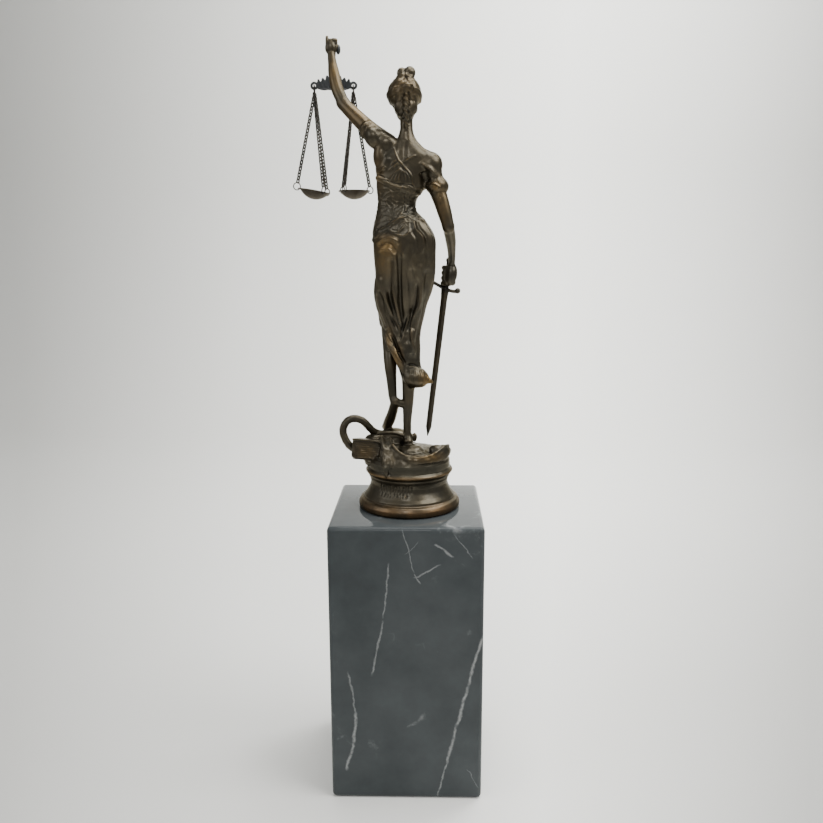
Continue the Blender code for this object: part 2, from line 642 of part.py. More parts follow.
def carve(obj):
    """Press the folds into the cloth, part the hair and raise the band over the eyes."""
    places, normals = mesh_arrays(obj.data)
    units = places / U
    units[:, 2] = (places[:, 2] - PLINTH_HEIGHT) / U
    shift = np.zeros(len(units))
    plane = units[:, [0, 2]]
    torso = (units[:, 0] > -23.5) & (units[:, 0] < 21.0)
    for side, width, depth, path in STROKES:
        facing = -normals[:, 1] if side == "back" else normals[:, 1]
        gate = np.clip(facing * 1.6, 0.0, 1.0) * torso
        distance = polyline_distance(plane, [tuple(dot) for dot in path])
        shift += depth * np.exp(-(distance / width) ** 2) * gate
    x, y, z = units[:, 0], units[:, 1], units[:, 2]
    head = (z > 252) & (np.abs(x + 1) < 12) & (np.abs(y) < 18)
    parting = np.exp(-((x + 0.2) / 1.1) ** 2) * (y < 0) * (z > 262) * (z < 277)
    shift -= 0.8 * parting * head
    band = np.clip(2.6 - np.abs(z - BAND_HEIGHT + 0.35 * y), 0.0, 0.7) / 0.7
    shift += 0.6 * band * head
    hem = np.exp(-((z - 89.0) / 5.0) ** 2) * np.clip(2.0 - y, 0.0, 1.0) * np.clip(x, 0.0, 1.0)
    shift += 0.35 * hem * np.sin(x * 1.35)
    places += normals * (shift * U)[:, None]
    obj.data.vertices.foreach_set("co", places.ravel())
    obj.data.update()


def remesh(obj, voxel):
    """Union all bodies of the object by the voxel grid."""
    step = obj.modifiers.new("union", "REMESH")
    step.mode = "VOXEL"
    step.voxel_size = voxel
    step.adaptivity = 0.0
    return apply_modifiers(obj)


def smooth(obj, rounds, factor):
    """Even out the small steps of the grid."""
    step = obj.modifiers.new("even", "SMOOTH")
    step.factor = factor
    step.iterations = rounds
    return apply_modifiers(obj)


def decimate(obj, triangles):
    """Collapse to a number of triangles."""
    triangulate(obj)
    step = obj.modifiers.new("reduce", "DECIMATE")
    step.ratio = min(1.0, triangles / len(obj.data.polygons))
    step.use_collapse_triangulate = True
    return apply_modifiers(obj)


def largest_body(obj):
    """Keep the one outer body: small closed bubbles inside the casting go."""
    work = bmesh.new()
    work.from_mesh(obj.data)
    left = set(work.verts)
    groups = []
    while left:
        seed = left.pop()
        group = {seed}
        edge = [seed]
        while edge:
            vertex = edge.pop()
            for line in vertex.link_edges:
                other = line.other_vert(vertex)
                if other not in group:
                    group.add(other)
                    edge.append(other)
        left -= group
        groups.append(group)
    groups.sort(key=len)
    for group in groups[:-1]:
        bmesh.ops.delete(work, geom=list(group), context="VERTS")
    work.to_mesh(obj.data)
    work.free()
    return obj


def clear_fittings(figure, collection):
    """Bore the fist for the grip and keep blade and hook free of the casting."""
    channel = cylinder("channel", along_sword(-2 * POMMEL_RADIUS),
                       along_sword(GUARD_AT - GUARD_RADIUS), GRIP_RADIUS + GAP, 12, collection)
    boolean(figure, channel, "DIFFERENCE")
    boolean(figure, loft("blade_room", blade_sections(GAP), collection), "DIFFERENCE")
    boolean(figure, make_hook(GAP, collection), "DIFFERENCE")


def make_figure(collection, mat):
    """The one casting."""
    parts = []
    head_forms(parts, collection)
    raised_arm(parts, collection)
    sword_arm(parts, collection)
    legs(parts, collection)
    dress(parts, collection)
    snake_and_book(parts, collection)
    rocks(parts, collection)
    figure = join("bronze_figure", parts, collection)
    lift = Matrix.Translation((0.0, 0.0, PLINTH_HEIGHT))
    figure.data.transform(lift.inverted())
    remesh(figure, FIGURE_VOXEL * U)
    figure.data.transform(lift)
    largest_body(figure)
    smooth(figure, SMOOTH_ROUNDS, SMOOTH_FACTOR)
    carve(figure)
    decimate(figure, FIGURE_TRIANGLES)
    underside = PLINTH_HEIGHT + GAP
    trim = block("trim", Vector((0.0, 0.0, underside - FIGURE_HEIGHT / 2)),
                 (FIGURE_HEIGHT, FIGURE_HEIGHT, FIGURE_HEIGHT), collection)
    boolean(figure, trim, "DIFFERENCE")
    clear_fittings(figure, collection)
    largest_body(figure)
    return finish(figure, mat, math.radians(60))


# Scales

BEAM_CENTRE = fig(-48.8, 31.0, 279.2)


def beam_point(x, z):
    """A point in the middle plane of the beam, from its centre."""
    return BEAM_CENTRE + Vector((x, 0.0, z))


# Upper and lower edge of the beam's right half, all as shares of the half span
BEAM_TOP = [(0.10, 0.448), (0.20, 0.324), (0.30, 0.417), (0.38, 0.386), (0.43, 0.216),
            (0.52, 0.301), (0.60, 0.286), (0.66, 0.124), (0.74, 0.232), (0.82, 0.224),
            (0.85, 0.108), (0.97, 0.015)]
BEAM_UNDER = [(0.93, -0.147), (0.76, -0.239), (0.52, -0.293), (0.26, -0.27)]
BEAM_KEEL = -0.324


def beam_outline():
    """The closed edge of the leafy beam, symmetrical about its middle."""
    right = BEAM_TOP + BEAM_UNDER
    left = [(-share, rise) for share, rise in reversed(right)]
    return right + [(0.0, BEAM_KEEL)] + left


def make_hook(extra, collection):
    """The stem behind the hand and its curl over the fingers, thicker by extra."""
    path = [(BEAM_CENTRE, 1.3), (fig(-48.6, 31.6, 288.0), 1.1), (fig(-48.2, 32.0, 298.0), 1.0),
            (fig(-47.2, 31.6, 302.2), 1.0), (fig(-45.4, 29.4, 302.0), 1.0)]
    stations = [(point, share * HOOK_RADIUS + extra) for point, share in path]
    stem = tube("hook", stations, collection, sides=1, ends=False, steps=2)[0]
    radii = [share * HOOK_RADIUS + extra for share in (1.8, 1.6, 3.6)]
    curl = ball("curl", fig(-45.2, 28.6, 300.2), radii, collection, fine=2)
    return boolean(stem, curl, "UNION")


def make_beam(collection, mat):
    """The beam with its two eyes, its stem and the hook over the hand."""
    half = BEAM_SPAN / 2
    outline = beam_outline()
    curve = bpy.data.curves.new("scale_beam", "CURVE")
    curve.dimensions = "2D"
    curve.fill_mode = "BOTH"
    curve.extrude = BEAM_THICKNESS / 2
    spline = curve.splines.new("POLY")
    spline.points.add(len(outline) - 1)
    for dot, (share, rise) in zip(spline.points, outline):
        dot.co = (share * half, rise * half, 0.0, 1.0)
    spline.use_cyclic_u = True
    obj = bpy.data.objects.new("scale_beam", curve)
    collection.objects.link(obj)
    obj.rotation_euler = (math.pi / 2, 0.0, 0.0)
    obj.location = BEAM_CENTRE
    bpy.context.view_layer.update()
    beam = freeze(obj)
    bpy.data.curves.remove(curve)
    depth = Vector((0.0, BEAM_THICKNESS * 0.56, 0.0))
    for side in (-1.0, 1.0):
        eye = beam_point(side * half, -EYE_DROP)
        beam = boolean(beam, cylinder("eye", eye - depth, eye + depth, BEAM_EYE_RADIUS, 14,
                                      collection), "UNION")
        beam = boolean(beam, cylinder("hole", eye - depth * 3, eye + depth * 3,
                                      BEAM_HOLE_RADIUS, 8, collection), "DIFFERENCE")
    beam = boolean(beam, make_hook(0.0, collection), "UNION")
    return finish(beam, mat)


# The two pans: which eye, how far each hangs off the eye's plumb line, tilt and lug angles
PANS = {
    "left": {"eye": -1.0, "shift": -0.0014, "drop": 0.0, "tilt": 0.17, "lugs": (180, 306, 54)},
    "right": {"eye": 1.0, "shift": -0.0004, "drop": 0.0001, "tilt": 0.0, "lugs": (34, 136, 243)},
}


def top_ring_centre(side):
    """The small ring in a beam eye hangs in the plane across the beam."""
    eye = beam_point(PANS[side]["eye"] * BEAM_SPAN / 2, -EYE_DROP)
    return eye - Vector((0.0, 0.0, TOP_RING_RADIUS - BEAM_HOLE_RADIUS + RING_WIRE + GAP))


def pan_matrix(side):
    """The frame of a pan: its origin is the middle of the rim."""
    pan = PANS[side]
    centre = top_ring_centre(side)
    centre.z -= TOP_RING_RADIUS + CHAIN_DROP + pan["drop"]
    centre.x += pan["shift"]
    return Matrix.Translation(centre) @ Matrix.Rotation(pan["tilt"], 4, "Y")


def lug_direction(side, index):
    """The level direction from the pan's axis to a lug."""
    angle = math.radians(PANS[side]["lugs"][index])
    return Vector((math.cos(angle), math.sin(angle), 0.0))


def lug_middle(side, index):
    """Middle of a lug's hole in the pan's own frame."""
    sink = Vector((0.0, 0.0, LUG_THICKNESS / 2 + LUG_SINK))
    return lug_direction(side, index) * LUG_REACH - sink


def make_pan(side, collection, mat):
    """A thin shallow dish with a narrow brim and three drilled lugs."""
    outer = []
    inner = []
    rings = 4
    end = math.radians(PAN_ARC)
    bowl = PAN_RADIUS - PAN_BRIM
    for i in range(rings + 1):
        angle = end * i / rings
        radius = math.sin(angle) / math.sin(end)
        height = (math.cos(angle) - math.cos(end)) / (1.0 - math.cos(end))
        outer.append((radius * bowl, -height * (PAN_DEPTH - PAN_WALL) - PAN_WALL))
        inner.append((radius * (bowl - PAN_WALL * 0.6), -height * (PAN_DEPTH - PAN_WALL)))
    profile = outer + [(PAN_RADIUS, -PAN_WALL), (PAN_RADIUS, 0.0)] + list(reversed(inner))
    pan = turned("scale_pan_" + side, list(reversed(profile)), Vector((0.0, 0.0, 0.0)),
                 PAN_STEPS, collection)
    up = Vector((0.0, 0.0, LUG_THICKNESS / 2))
    for index in range(3):
        middle = lug_middle(side, index)
        lug = cylinder("lug", middle - up, middle + up, LUG_RADIUS, 8, collection)
        pan = boolean(pan, lug, "UNION")
    for index in range(3):
        middle = lug_middle(side, index)
        hole = cylinder("lug_hole", middle - up * 4, middle + up * 4, LUG_HOLE_RADIUS, 6,
                        collection)
        pan = boolean(pan, hole, "DIFFERENCE")
    pan.data.transform(pan_matrix(side))
    return finish(pan, mat)


def ring_place(side, index):
    """Centre and frame of the jump ring through a lug, and its direction to the chain."""
    place = pan_matrix(side)
    turn = place.to_3x3()
    out = turn @ lug_direction(side, index)
    up = turn @ Vector((0.0, 0.0, 1.0))
    swing = math.sqrt(RING_RADIUS ** 2 - RING_RISE ** 2)
    centre = place @ lug_middle(side, index) + out * swing + up * RING_RISE
    across = up.cross(out).normalized()
    frame = Matrix((out, across.cross(out), across)).transposed()
    pull = (top_anchor(side, index) - centre).normalized()
    return centre, frame, pull


def top_anchor(side, index):
    """Where a chain leaves the ring in the beam's eye."""
    centre = top_ring_centre(side)
    spread = 0.0
    if index > 0:
        spread = math.copysign(math.radians(ANCHOR_SPREAD), lug_direction(side, index).y)
    reach = TOP_RING_RADIUS + RING_WIRE + GAP
    return centre + Vector((0.0, math.sin(spread) * reach, -math.cos(spread) * reach))


def chain_frame(axis):
    """Across and off the flat of a chain whose links face -Y."""
    along = axis.normalized()
    across = along.cross(Vector((0.0, 1.0, 0.0))).normalized()
    return across, across.cross(along)


def make_chain(side, index, collection, mat):
    """One chain as a body of fused links: flat sections turned to and fro."""
    start = top_anchor(side, index)
    centre, _, pull = ring_place(side, index)
    end = centre + pull * (RING_RADIUS + RING_WIRE + GAP)
    axis = end - start
    links = max(2, int(round(axis.length / CHAIN_PITCH)))
    across, flat = chain_frame(axis)
    sections = []
    for i in range(links + 1):
        ease = min(1.0, 0.34 + 0.66 * min(i, links - i) / 3)
        lean = math.radians(CHAIN_LEAN) * (1 if i % 2 else -1)
        first = across * math.cos(lean) + flat * math.sin(lean)
        second = flat * math.cos(lean) - across * math.sin(lean)
        middle = start + axis * (i / links)
        w = CHAIN_WIDTH / 2 * ease
        t = CHAIN_THICKNESS / 2 * (0.5 + 0.5 * ease)
        sections.append([middle + first * w, middle + second * t,
                         middle - first * w, middle - second * t])
    chain = loft("chain_%s_%d" % (side, index + 1), sections, collection)
    return finish(triangulate(chain), mat)


def make_rings(side, collection, mat):
    """The jump rings at the lugs and the ring in the beam's eye."""
    made = []
    for index in range(3):
        centre, frame, _ = ring_place(side, index)
        made.append(torus("pan_ring_%s_%d" % (side, index + 1), centre, RING_RADIUS,
                          RING_WIRE, frame, collection, 10, 4))
    across = Matrix.Rotation(math.pi / 2, 3, "Y")
    made.append(torus("eye_ring_" + side, top_ring_centre(side), TOP_RING_RADIUS, RING_WIRE,
                      across, collection, 12, 4))
    return [finish(ring, mat) for ring in made]


def make_plinth(collection, mat):
    """The marble block."""
    plinth = block("marble_plinth", Vector((0.0, 0.0, PLINTH_HEIGHT / 2)),
                   (PLINTH_SIDE, PLINTH_SIDE, PLINTH_HEIGHT), collection,
                   edge=PLINTH_EDGE, steps=PLINTH_EDGE_STEPS)
    return finish(plinth, mat, math.radians(30))


def main():
    """Build every piece."""
    for obj in list(bpy.data.objects):
        bpy.data.objects.remove(obj)
    collection = bpy.data.collections.new(COLLECTION)
    bpy.context.scene.collection.children.link(collection)
    bronze = material("bronze", (0.060, 0.047, 0.030), 1.0, 0.34)
    sword_bronze = material("sword_bronze", (0.062, 0.050, 0.034), 1.0, 0.36)
    steel = material("dark_metal", (0.058, 0.056, 0.052), 1.0, 0.42)
    pan_metal = material("pan_metal", (0.085, 0.068, 0.048), 1.0, 0.42)
    chain_metal = material("chain_metal", (0.055, 0.052, 0.048), 1.0, 0.45)
    marble = material("marble", (0.018, 0.019, 0.020), 0.0, 0.16)
    make_plinth(collection, marble)
    make_figure(collection, bronze)
    make_sword(collection, sword_bronze)
    make_beam(collection, steel)
    for side in PANS:
        make_pan(side, collection, pan_metal)
        make_rings(side, collection, chain_metal)
        for index in range(3):
            make_chain(side, index, collection, chain_metal)


main()
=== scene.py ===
"""Visual model of the lady justice statue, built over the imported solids."""

import math

import bmesh
import bpy
import numpy as np
from mathutils import Matrix, Vector


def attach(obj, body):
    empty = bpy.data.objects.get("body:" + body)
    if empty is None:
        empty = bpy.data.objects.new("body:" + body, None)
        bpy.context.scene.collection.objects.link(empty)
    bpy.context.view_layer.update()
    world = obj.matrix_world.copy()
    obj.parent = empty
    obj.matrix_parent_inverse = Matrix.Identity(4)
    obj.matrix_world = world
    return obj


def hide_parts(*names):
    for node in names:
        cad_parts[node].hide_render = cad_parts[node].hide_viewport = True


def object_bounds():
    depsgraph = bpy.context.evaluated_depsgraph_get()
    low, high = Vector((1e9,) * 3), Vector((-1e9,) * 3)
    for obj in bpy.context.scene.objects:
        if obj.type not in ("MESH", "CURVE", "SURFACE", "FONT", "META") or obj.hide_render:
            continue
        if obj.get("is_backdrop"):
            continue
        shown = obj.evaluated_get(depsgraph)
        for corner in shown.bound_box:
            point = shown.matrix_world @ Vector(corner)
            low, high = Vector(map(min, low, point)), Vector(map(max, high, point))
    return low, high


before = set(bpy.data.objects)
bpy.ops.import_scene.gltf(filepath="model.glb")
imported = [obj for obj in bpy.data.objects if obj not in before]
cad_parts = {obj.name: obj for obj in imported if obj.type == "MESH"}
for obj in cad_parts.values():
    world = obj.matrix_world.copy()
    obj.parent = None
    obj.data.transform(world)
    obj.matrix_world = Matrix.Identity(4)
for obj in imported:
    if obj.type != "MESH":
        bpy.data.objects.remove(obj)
bounds_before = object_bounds()
VISUAL = bpy.data.collections.new("visual")
bpy.context.scene.collection.children.link(VISUAL)

# Plinth
PLINTH_SIDE = 0.100
PLINTH_HEIGHT = 0.190
PLINTH_EDGE = 0.003
# Figure: drawn FIGURE_UNITS tall, all its proportions are shares of its own height
FIGURE_HEIGHT = 0.308
FIGURE_UNITS = 308
LIMB_SIDES = 10
LIMB_STEPS = 14
FIGURE_VOXEL = 0.0004
FIGURE_EVEN = 7
SOFT_ROUNDS = 80
FIGURE_TRIANGLES = 184000
BEAM_VOXEL = 0.00014
BEAM_TRIANGLES = 24000
LINK_WIRE = 0.00052
LINK_WIDTH = 0.0027
LINK_LEAN = 32
RING_TRIM = 0.00006
HIGHEST = bounds_before[1][2] - 0.00002
# Fits
GAP = 0.0003
WELD = 0.00005
# Sword
SWORD_LENGTH = 0.1238
GRIP_RADIUS = 0.0013
BLADE_WIDTH = 0.0045
BLADE_THICKNESS = 0.0018
BLADE_TAPER = 0.0065
POMMEL_RADIUS = 0.0019
GUARD_AT = 0.0216
GUARD_RADIUS = 0.0013
COLLAR_LENGTH = 0.0062
COLLAR_WIDTH = 0.0056
COLLAR_THICKNESS = 0.0030
# Scales
BEAM_SPAN = 0.0259
BEAM_THICKNESS = 0.0018
BEAM_EYE_RADIUS = 0.0027
BEAM_HOLE_RADIUS = 0.0011
EYE_DROP = 0.0009
HOOK_RADIUS = 0.0009
PAN_RADIUS = 0.0106
PAN_BRIM = 0.0009
PAN_DEPTH = 0.0058
PAN_WALL = 0.0007
PAN_STEPS = 72
PAN_ARC = 52
LUG_REACH = 0.0102
LUG_RADIUS = 0.0014
LUG_THICKNESS = 0.0006
LUG_SINK = 0.00005
LUG_HOLE_RADIUS = 0.00075
RING_RADIUS = 0.0024
RING_WIRE = 0.00035
RING_RISE = 0.0012
TOP_RING_RADIUS = 0.0027
CHAIN_DROP = 0.0622
CHAIN_PITCH = 0.0021
ANCHOR_SPREAD = 35
U = FIGURE_HEIGHT / FIGURE_UNITS


def fig(x, y, z):
    """A point of the figure: x and y from the plinth's axis, z above the plinth's top."""
    return Vector((x * U, y * U, PLINTH_HEIGHT + z * U))


def take(name):
    """The object that the last operator made, in the visual collection only."""
    obj = bpy.context.object
    for user in list(obj.users_collection):
        user.objects.unlink(obj)
    VISUAL.objects.link(obj)
    obj.name = name
    return obj


def from_bmesh(name, work):
    """A new object of the visual collection from a bmesh."""
    mesh = bpy.data.meshes.new(name)
    work.to_mesh(mesh)
    work.free()
    obj = bpy.data.objects.new(name, mesh)
    VISUAL.objects.link(obj)
    return obj


def freeze(obj):
    """Write the object's own transform and modifiers into a new mesh."""
    bpy.context.view_layer.update()
    graph = bpy.context.evaluated_depsgraph_get()
    mesh = bpy.data.meshes.new_from_object(obj.evaluated_get(graph))
    mesh.transform(obj.matrix_world)
    name = obj.name
    bpy.data.objects.remove(obj)
    work = bmesh.new()
    work.from_mesh(mesh)
    bpy.data.meshes.remove(mesh)
    bmesh.ops.remove_doubles(work, verts=work.verts, dist=WELD)
    bmesh.ops.recalc_face_normals(work, faces=work.faces)
    return from_bmesh(name, work)


def ball(name, centre, radii, turn=(0, 0, 0), fine=4):
    """An ellipsoid."""
    bpy.ops.mesh.primitive_ico_sphere_add(subdivisions=fine, radius=1)
    obj = take(name)
    obj.scale = radii
    obj.rotation_euler = turn
    obj.location = centre
    return freeze(obj)


def tube(name, stations, sides=4, ends=True, steps=6):
    """A bevelled curve through stations (point, radius), with rounded ends on request."""
    curve = bpy.data.curves.new(name, "CURVE")
    curve.dimensions = "3D"
    curve.bevel_depth = 1
    curve.bevel_resolution = sides
    curve.use_fill_caps = True
    curve.resolution_u = steps
    spline = curve.splines.new("NURBS")
    spline.points.add(len(stations) - 1)
    spline.order_u = min(3, len(stations))
    spline.use_endpoint_u = True
    for dot, (point, radius) in zip(spline.points, stations):
        dot.co = (*point, 1)
        dot.radius = radius
    obj = bpy.data.objects.new(name, curve)
    VISUAL.objects.link(obj)
    solid = freeze(obj)
    bpy.data.curves.remove(curve)
    if not ends:
        return [solid]
    caps = []
    for point, radius in (stations[0], stations[-1]):
        caps.append(ball(name + "_end", point, (radius, radius, radius), fine=3))
    return [solid] + caps


def loft(name, sections):
    """A closed loft between unlike sections, each an equal list of points."""
    work = bmesh.new()
    rows = []
    for section in sections:
        rows.append([work.verts.new(point) for point in section])
    count = len(rows[0])
    for low, high in zip(rows, rows[1:]):
        for i in range(count):
            j = (i + 1) % count
            work.faces.new((low[i], low[j], high[j], high[i]))
    work.faces.new(rows[0])
    work.faces.new(rows[-1])
    bmesh.ops.recalc_face_normals(work, faces=work.faces)
    return from_bmesh(name, work)


def oval(x, y, z, half_width, half_depth, count=96):
    """A level oval section of the figure."""
    points = []
    for i in range(count):
        angle = 2 * math.pi * i / count
        points.append(fig(x + half_width * math.cos(angle), y + half_depth * math.sin(angle), z))
    return points


def block(name, centre, size, turn=(0, 0, 0), edge=0, steps=1):
    """A box with softened edges."""
    bpy.ops.mesh.primitive_cube_add(size=1)
    obj = take(name)
    for vertex in obj.data.vertices:
        vertex.co = Vector(vertex.co[i] * size[i] for i in range(3))
    if edge > 0:
        bevel = obj.modifiers.new("edges", "BEVEL")
        bevel.width = edge
        bevel.segments = steps
        bevel.limit_method = "NONE"
    obj.rotation_euler = turn
    obj.location = centre
    return freeze(obj)


def turned(name, profile, centre, steps):
    """A Screw of a closed or axis-to-axis profile (radius, height) about a vertical axis."""
    work = bmesh.new()
    dots = [work.verts.new((radius, 0, height)) for radius, height in profile]
    for first, second in zip(dots, dots[1:]):
        work.edges.new((first, second))
    obj = from_bmesh(name, work)
    screw = obj.modifiers.new("turn", "SCREW")
    screw.steps = steps
    screw.render_steps = steps
    screw.use_merge_vertices = True
    screw.merge_threshold = WELD
    obj.location = centre
    return freeze(obj)


def cylinder(name, start, end, radius, sides):
    """A straight cylinder between two points."""
    axis = end - start
    bpy.ops.mesh.primitive_cylinder_add(vertices=sides, radius=radius, depth=axis.length)
    obj = take(name)
    turn = axis.to_track_quat("Z", "Y").to_matrix().to_4x4()
    obj.matrix_world = Matrix.Translation((start + end) / 2) @ turn
    return freeze(obj)


def torus(name, centre, radius, wire, turn, major=10, minor=5):
    """A ring whose axis is the third column of turn."""
    bpy.ops.mesh.primitive_torus_add(major_segments=major, minor_segments=minor,
                                     major_radius=radius, minor_radius=wire)
    obj = take(name)
    obj.matrix_world = Matrix.Translation(centre) @ turn.to_4x4()
    return freeze(obj)


def join(name, objects):
    """Bring several meshes into one object, as separate bodies."""
    work = bmesh.new()
    for obj in objects:
        mesh = obj.data
        work.from_mesh(mesh)
        bpy.data.objects.remove(obj)
        bpy.data.meshes.remove(mesh)
    return from_bmesh(name, work)


def modify(obj, kind, **settings):
    """Write one modifier into the mesh."""
    step = obj.modifiers.new(kind, kind)
    for name, value in settings.items():
        setattr(step, name, value)
    bpy.context.view_layer.update()
    graph = bpy.context.evaluated_depsgraph_get()
    mesh = bpy.data.meshes.new_from_object(obj.evaluated_get(graph))
    obj.modifiers.clear()
    old = obj.data
    obj.data = mesh
    bpy.data.meshes.remove(old)


def boolean(obj, other, operation="DIFFERENCE"):
    """A Boolean written into the mesh; the other object is used up."""
    modify(obj, "BOOLEAN", solver="MANIFOLD", operation=operation, object=other)
    bpy.data.objects.remove(other)
    return obj


def decimate(obj, triangles):
    """Collapse to a number of triangles."""
    modify(obj, "TRIANGULATE")
    modify(obj, "DECIMATE", ratio=min(1, triangles / len(obj.data.polygons)),
           use_collapse_triangulate=True)


def finish(obj, mat, angle=math.radians(40)):
    """Smooth shading and the one material."""
    obj.data.materials.clear()
    obj.data.materials.append(mat)
    obj.data.shade_smooth()
    obj.data.set_sharp_from_angle(angle=angle)
    return obj


SWORD_TOP = fig(27.9, 24.5, 166.6)
SWORD_TIP_AIM = fig(13.6, 19.6, 44)
SWORD_AXIS = (SWORD_TIP_AIM - SWORD_TOP).normalized()
SWORD_SIDE = Vector((0, 1, 0)).cross(SWORD_AXIS).normalized()
SWORD_FLAT = SWORD_AXIS.cross(SWORD_SIDE)


def along_sword(distance, side=0, flat=0):
    """A point on the sword: distance from the top of the pommel, to the side, off the flat."""
    return SWORD_TOP + SWORD_AXIS * distance + SWORD_SIDE * side + SWORD_FLAT * flat


def blade_section(distance, width, thickness):
    """A diamond section of the blade."""
    return [along_sword(distance, side=width / 2), along_sword(distance, flat=thickness / 2),
            along_sword(distance, side=-width / 2), along_sword(distance, flat=-thickness / 2)]


def blade_sections(extra):
    """The collar at the guard and the blade to its tip, wider all round by extra."""
    reach = COLLAR_LENGTH / 2
    rows = [(GUARD_AT - reach, COLLAR_WIDTH * 0.7, COLLAR_THICKNESS * 0.8),
            (GUARD_AT, COLLAR_WIDTH, COLLAR_THICKNESS),
            (GUARD_AT + reach, COLLAR_WIDTH * 0.9, COLLAR_THICKNESS * 0.8),
            (GUARD_AT + reach * 2, BLADE_WIDTH, BLADE_THICKNESS),
            (SWORD_LENGTH - BLADE_TAPER, BLADE_WIDTH * 0.86, BLADE_THICKNESS * 0.85),
            (SWORD_LENGTH, BLADE_WIDTH * 0.12, BLADE_THICKNESS * 0.3)]
    return [blade_section(distance, width + 2 * extra, thickness + 2 * extra)
            for distance, width, thickness in rows]


# Sections of body and hanging cloth: height, x, y, half width and half depth
TORSO = [
    (247, 0, 0.8, 3.9, 4.2), (241, 0, 0.2, 5.7, 5), (236.5, -0.1, -0.4, 9.4, 6.4),
    (233, -0.2, -0.6, 13.7, 7.4), (229, 0.3, -0.4, 18.7, 8.4), (224, 0.3, 0.4, 20.1, 9.6),
    (217, -1.4, 1, 18, 10.6), (210, -3.6, 1, 15.7, 10.6), (204, -5.8, 0.6, 12.7, 9.6),
    (199, -6.4, 0.2, 12.4, 9.2), (195, -6.2, -0.2, 13.4, 9.8), (190, -4.2, -0.8, 16.4, 11.2),
    (183, -2.6, -1.2, 19.4, 12.8), (177, -1.5, -1.2, 20.3, 13.6), (167, -1.3, -0.4, 20.1, 13.6),
    (156, -1.1, 1.2, 19.6, 13.2), (146, -2.1, 3, 18.9, 13), (136, -3.9, 4.4, 17.1, 12.6),
    (128, -3.5, 4.6, 14.8, 12), (120, -3.1, 4, 12.5, 11), (113, -2.9, 3.2, 11.4, 10),
    (106, -3.1, 2.6, 10.7, 8.8),
]
TRAIN = [
    (120, -0.9, 1, 9.1, 9), (108, 0.4, 0.6, 8.4, 8.4), (100, 1, 0, 7.7, 7.6), (93, 2.2, -0.8, 7.6, 7.2),
    (87, 3.8, -1.4, 7.2, 6.8), (82, 5, -1.6, 6.2, 6),
]
BASE_AXIS_X = 1.1
# Radius and height of the base's outline
BASE_PROFILE = [
    (0, 0), (32.8, 0), (34.2, 1.2), (34.3, 4), (33, 6.4), (31.2, 7.4), (30.8, 8.6), (28.8, 11),
    (26.8, 14.5), (26, 17.5), (26.5, 20.5), (28.2, 23.4), (29, 25.2), (28.8, 26.6), (27.8, 28.4),
    (27.6, 31), (27, 34), (25.8, 37), (21, 38.6), (12, 39.6), (0, 40.2),
]
# Rim of the cloth over the base: x, y, lower edge and upper edge
CLOTH = [
    (-9.4, -19.6, 36.6, 46.6), (-6.2, -22, 36.4, 42.6), (-0.7, -24.2, 36, 39.8),
    (5.9, -25.2, 35.6, 38.8), (12.3, -24.2, 35.4, 38.8), (18.8, -21, 35.6, 41), (24, -16, 36.2, 44.2),
    (26.8, -11, 37.4, 44.4), (27.6, -6, 38, 43),
]
# The hollow under the rim: x, y, z and radius
CLOTH_HOLLOW = [
    (-4, -17.6, 42.6, 1.4), (0.6, -19.8, 40, 2.2), (6.4, -20.8, 38.8, 2.5),
    (12.4, -19.6, 39, 2.5), (18, -16, 41.6, 2),
]
# Spots where creases between forms are evened out: x, y, z and radius
SOFT_SPOTS = [
    (26.7, -4, 186, 10), (28.4, 4, 179, 9), (29.2, 11, 173, 9), (-40.6, 13.2, 263.8, 10),
    (12, -2, 227, 12), (14, -4, 214, 8), (-14, -2, 236, 10), (-12.6, 13.6, 127, 9),
    (-9.8, -1.6, 72.6, 5), (5, -2, 87, 13), (-13, -20, 36, 9), (22, -9, 40, 8), (0.6, -1.2, 49, 6),
    (-48.8, 23.6, 292, 7), (29.6, 19, 163, 6), (-10, 8, 46, 12), (0, 0.6, 249, 7), (0, -8, 119, 9),
    (18, -5, 219, 12), (1, -4, 241, 9), (-26, 1, 247, 10), (-17, -1, 247, 10), (7, -9, 90, 11),
    (-14, -14, 44, 9),
]
BAND_HEIGHT = 265.4
